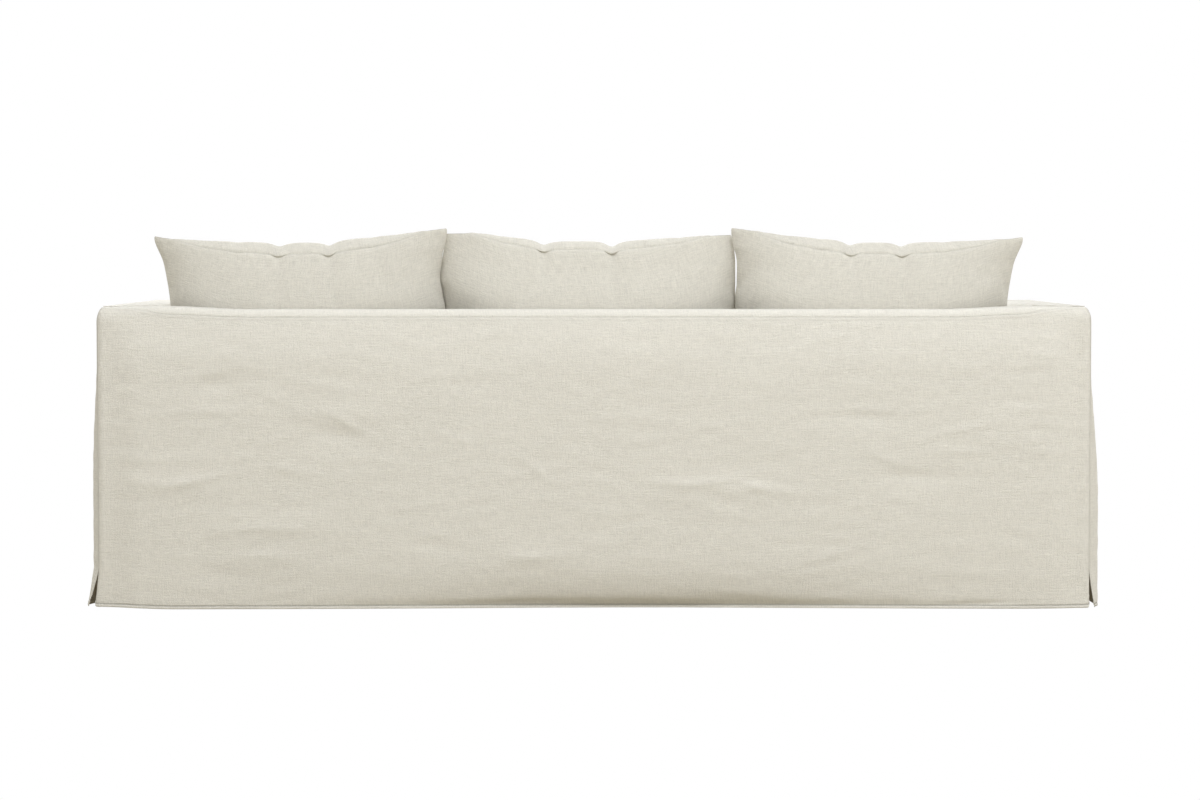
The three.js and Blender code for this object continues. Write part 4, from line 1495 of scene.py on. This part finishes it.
@dataclass
class Cover:
    """The fitted cover: its panels, their sewing and its rows of stitches."""

    linen: bpy.types.Material
    thread: bpy.types.Material
    stitching: Stitching = Stitching()

    INNER_ROWS = runs((0, 0), (1, 34), (1.8, 7), (2, 4))
    BAND_COLUMNS = runs((0, 0), (0.03, 4), (0.97, 110), (1, 3), (2, 7))
    BAND_ROWS = runs((0, 0), (0.3, 5), (1, 6), (2, 16), (2.7, 6), (3, 4))
    FRONT_COLUMNS = runs((-2, 0), (-1, 8), (1, 26), (2, 7))
    SEAT_ROWS = runs((-1, 0), (0, 10), (1, 90))
    APRON_ROWS = runs((0, 0), (0.04, 11), (0.08, 3), (0.96, 50), (1, 5))

    def panels(self) -> list[Panel]:
        """Return every sewn panel of the cover."""
        return self._back_panels() + self._seat_panels() + self._arm_panels(LEFT) + self._arm_panels(RIGHT)

    def _back_panels(self) -> list[Panel]:
        """Return the outer back, the inner back and the band over the rail."""
        half = SHELL.core_half(LEFT)
        outer = Panel("outer_back", outer_back, wall_columns(half, 330), wall_rows(92), -1, Hold.HUNG,
                      ("rail_band",), "lrt", BACK_CREASES, rumple=0.00018, seed=11)
        inner = Panel("inner_back", inner_back, finer_ends(half, 200), self.INNER_ROWS, 1,
                      Hold.STRETCHED, ("rail_band",), seed=12)
        band = Panel("rail_band", rail_band, finer_ends(half, 240), self.BAND_ROWS, -1,
                     Hold.STRETCHED, ("outer_back",), "bt", seed=13)
        return [outer, inner, band]

    def _seat_panels(self) -> list[Panel]:
        """Return the seat and the apron below it."""
        top = Panel("seat", seat, finer_ends(SEAT_HALF, 190), self.SEAT_ROWS, 1, Hold.STRETCHED,
                    ("inner_back",), "lrtb", SEAT_CREASES, Axes.ALONG_AND_DEPTH, rumple=0.00035, seed=21)
        front = Panel("apron", apron, finer_ends(SEAT_HALF, 220), self.APRON_ROWS, 1, Hold.HUNG,
                      ("seat",), "lrt", APRON_CREASES, rumple=0.00025, seed=22)
        return [top, front]

    def _arm_panels(self, side: Side) -> list[Panel]:
        """Return the four panels of one arm."""
        word, sign = side.word, side.sign
        names = {part: f"{part}_{word}" for part in ("outer_arm", "inner_arm", "arm_front", "arm_band")}
        on_band = (names["arm_band"],)
        seed = 30 if side is LEFT else 40
        outer = Panel(names["outer_arm"], outer_arm(side), wall_columns(SHELL.core_depth, 135),
                      wall_rows(82), sign, Hold.HUNG, on_band, "lrt", SIDE_CREASES[word],
                      Axes.DEPTH_AND_UP, rumple=0.00028, seed=seed)
        inner = Panel(names["inner_arm"], inner_arm(side), finer_ends(SHELL.core_depth, 110),
                      self.INNER_ROWS, -sign, Hold.STRETCHED, on_band, seed=seed + 1)
        front = Panel(names["arm_front"], arm_front(side), self.FRONT_COLUMNS, wall_rows(90), sign,
                      Hold.HUNG, on_band, "lrt", ARM_FRONT_CREASES[word], rumple=0.00020, seed=seed + 2)
        band = Panel(names["arm_band"], arm_band(side), self.BAND_COLUMNS, self.BAND_ROWS, sign,
                     Hold.STRETCHED, (names["outer_arm"],), "rbt", seed=seed + 3)
        return [outer, inner, front, band]

    def build(self) -> None:
        """Make the panels and their stitches."""
        rows: list[StitchRow] = []
        for panel in self.panels():
            panel.build(self.linen)
            rows.extend(panel.stitch_rows())
        self.stitching.build(rows, self.thread)


@dataclass
class PillowSet:
    """The three loose back pillows."""

    linen: bpy.types.Material
    filling: Filling = Filling()
    fill: float = 0.7

    def build(self) -> None:
        for pillow in PILLOWS:
            obj = pillow.build(self.linen, self.filling)
            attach(obj, BODY)
            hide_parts(pillow.node)
            LOG.info("pillow %s: %d faces", pillow.node, len(obj.data.polygons))


# ---------------------------------------------------------------- view and light
@dataclass(frozen=True)
class Lamp:
    """One soft rectangular light."""

    name: str
    at: Place
    aim: Place
    wide: float
    tall: float
    power: float
    tone: Colour

    def build(self) -> None:
        """Add the light to the scene."""
        data = bpy.data.lights.new(self.name, "AREA")
        data.shape = "RECTANGLE"
        data.size, data.size_y = self.wide, self.tall
        data.energy = self.power
        data.color = self.tone
        lamp = placed(self.name, data)
        lamp.location = self.at
        lamp.rotation_euler = facing_to(self.at, self.aim)


def facing_to(at: Place, aim: Place) -> Euler:
    """Return the turn that points a camera or a lamp at a place."""
    return (Vector(aim) - Vector(at)).to_track_quat("-Z", "Y").to_euler()


@dataclass(frozen=True)
class Stage:
    """Camera, light and the plain floor."""

    eye: Place = (0.029, 7.475, 0.135)
    aim: Place = (-0.010, 0.075, -0.2013)
    lens: float = 98.45
    sensor: float = 36.0
    far: float = 100.0
    sky: float = 0.86
    below: Colour = (0.46, 0.385, 0.26)
    horizon: float = 0.35
    floor_half: float = 14.0
    floor_tone: Colour = (0.56, 0.53, 0.45)
    floor_roughness: float = 0.9
    floor_drop: float = 0.001
    floor_veil: float = 0.30
    lamps: tuple[Lamp, ...] = (
        Lamp("key", (-0.55, 2.4, 2.3), (0.0, 0.05, -0.25), 4.6, 1.2, 76.0, (0.950, 0.990, 1.080)),
        Lamp("top", (1.0, 1.1, 2.5), (0.5, 0.0, 0.0), 2.4, 1.0, 9.0, (0.950, 0.990, 1.075)),
        Lamp("side", (-3.4, 0.9, 0.2), (-1.1, 0.0, -0.3), 1.0, 1.6, 11.0, (0.970, 0.995, 1.040)),
        Lamp("rim", (0.6, -2.6, 1.7), (0.0, -0.3, 0.0), 3.2, 1.0, 54.0, (0.970, 0.995, 1.040)),
    )

    def build(self) -> None:
        """Set up the view, the world, the lights and the floor."""
        scene = bpy.context.scene
        scene.view_settings.view_transform = "Standard"
        data = bpy.data.cameras.new("view")
        data.lens, data.sensor_width, data.clip_end = self.lens, self.sensor, self.far
        scene.camera = placed("view", data)
        scene.camera.location = self.eye
        scene.camera.rotation_euler = facing_to(self.eye, self.aim)
        scene.world = self._world()
        for lamp in self.lamps:
            lamp.build()
        self._floor()

    def _world(self) -> bpy.types.World:
        """Return an even sky, dimmer and warmer from below, that looks plain white behind the object."""
        world = bpy.data.worlds.new("sky")
        world.use_nodes = True
        tree = Tree(world.node_tree)
        split = tree.add("ShaderNodeSeparateXYZ", {0: tree.add("ShaderNodeTexCoord")["Generated"]})
        height = tree.add("ShaderNodeMapRange", {
            "Value": split["Z"], "From Min": -self.horizon, "From Max": self.horizon,
        })
        tone = tree.add("ShaderNodeMix", {
            "Factor": height["Result"], "A": (*self.below, 1.0), "B": WHITE,
        }, data_type="RGBA")
        sky = tree.nodes["Background"]
        tree.fill(sky, {"Strength": self.sky, "Color": tone["Result"]})
        tree.seen_or_lit("ShaderNodeBackground", sky.outputs[0], tree.nodes["World Output"])
        return world

    def _floor(self) -> None:
        """Add the plain pale floor, which looks as white as the background and lets a little light up."""
        half = self.floor_half
        z = float(SHELL.shift[2]) - self.floor_drop
        mesh = bpy.data.meshes.new("floor")
        corners = [(-half, -half, z), (half, -half, z), (half, half, z), (-half, half, z)]
        mesh.from_pydata(corners, [], [(0, 1, 2, 3)])
        tree = Finish("floor")
        tree.fill(tree.shader, {
            "Base Color": (*self.floor_tone, 1.0), "Roughness": self.floor_roughness,
        })
        clear = tree.add("ShaderNodeBsdfTransparent")[0]
        veil = tree.add("ShaderNodeMixShader", {0: self.floor_veil, 1: tree.shader.outputs[0], 2: clear})
        tree.seen_or_lit("ShaderNodeEmission", veil[0], tree.nodes["Material Output"])
        mesh.materials.append(tree.material)
        placed("floor", mesh)


def main() -> None:
    """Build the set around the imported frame."""
    logging.basicConfig(level=logging.INFO, format="%(name)s: %(message)s")
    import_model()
    Stage().build()
    linen = Linen("linen", (0.700, 0.672, 0.592)).material()
    # painted shade: the pillows' linen is the cover's cloth with its colour made about a tenth darker
    pillow_linen = Linen("pillow_linen", (0.632, 0.604, 0.524), slub=0.27).material()
    thread = Thread("thread", (0.66, 0.63, 0.55)).material()
    Cover(linen, thread).build()
    PillowSet(pillow_linen).build()


if __name__ == "__main__":
    main()
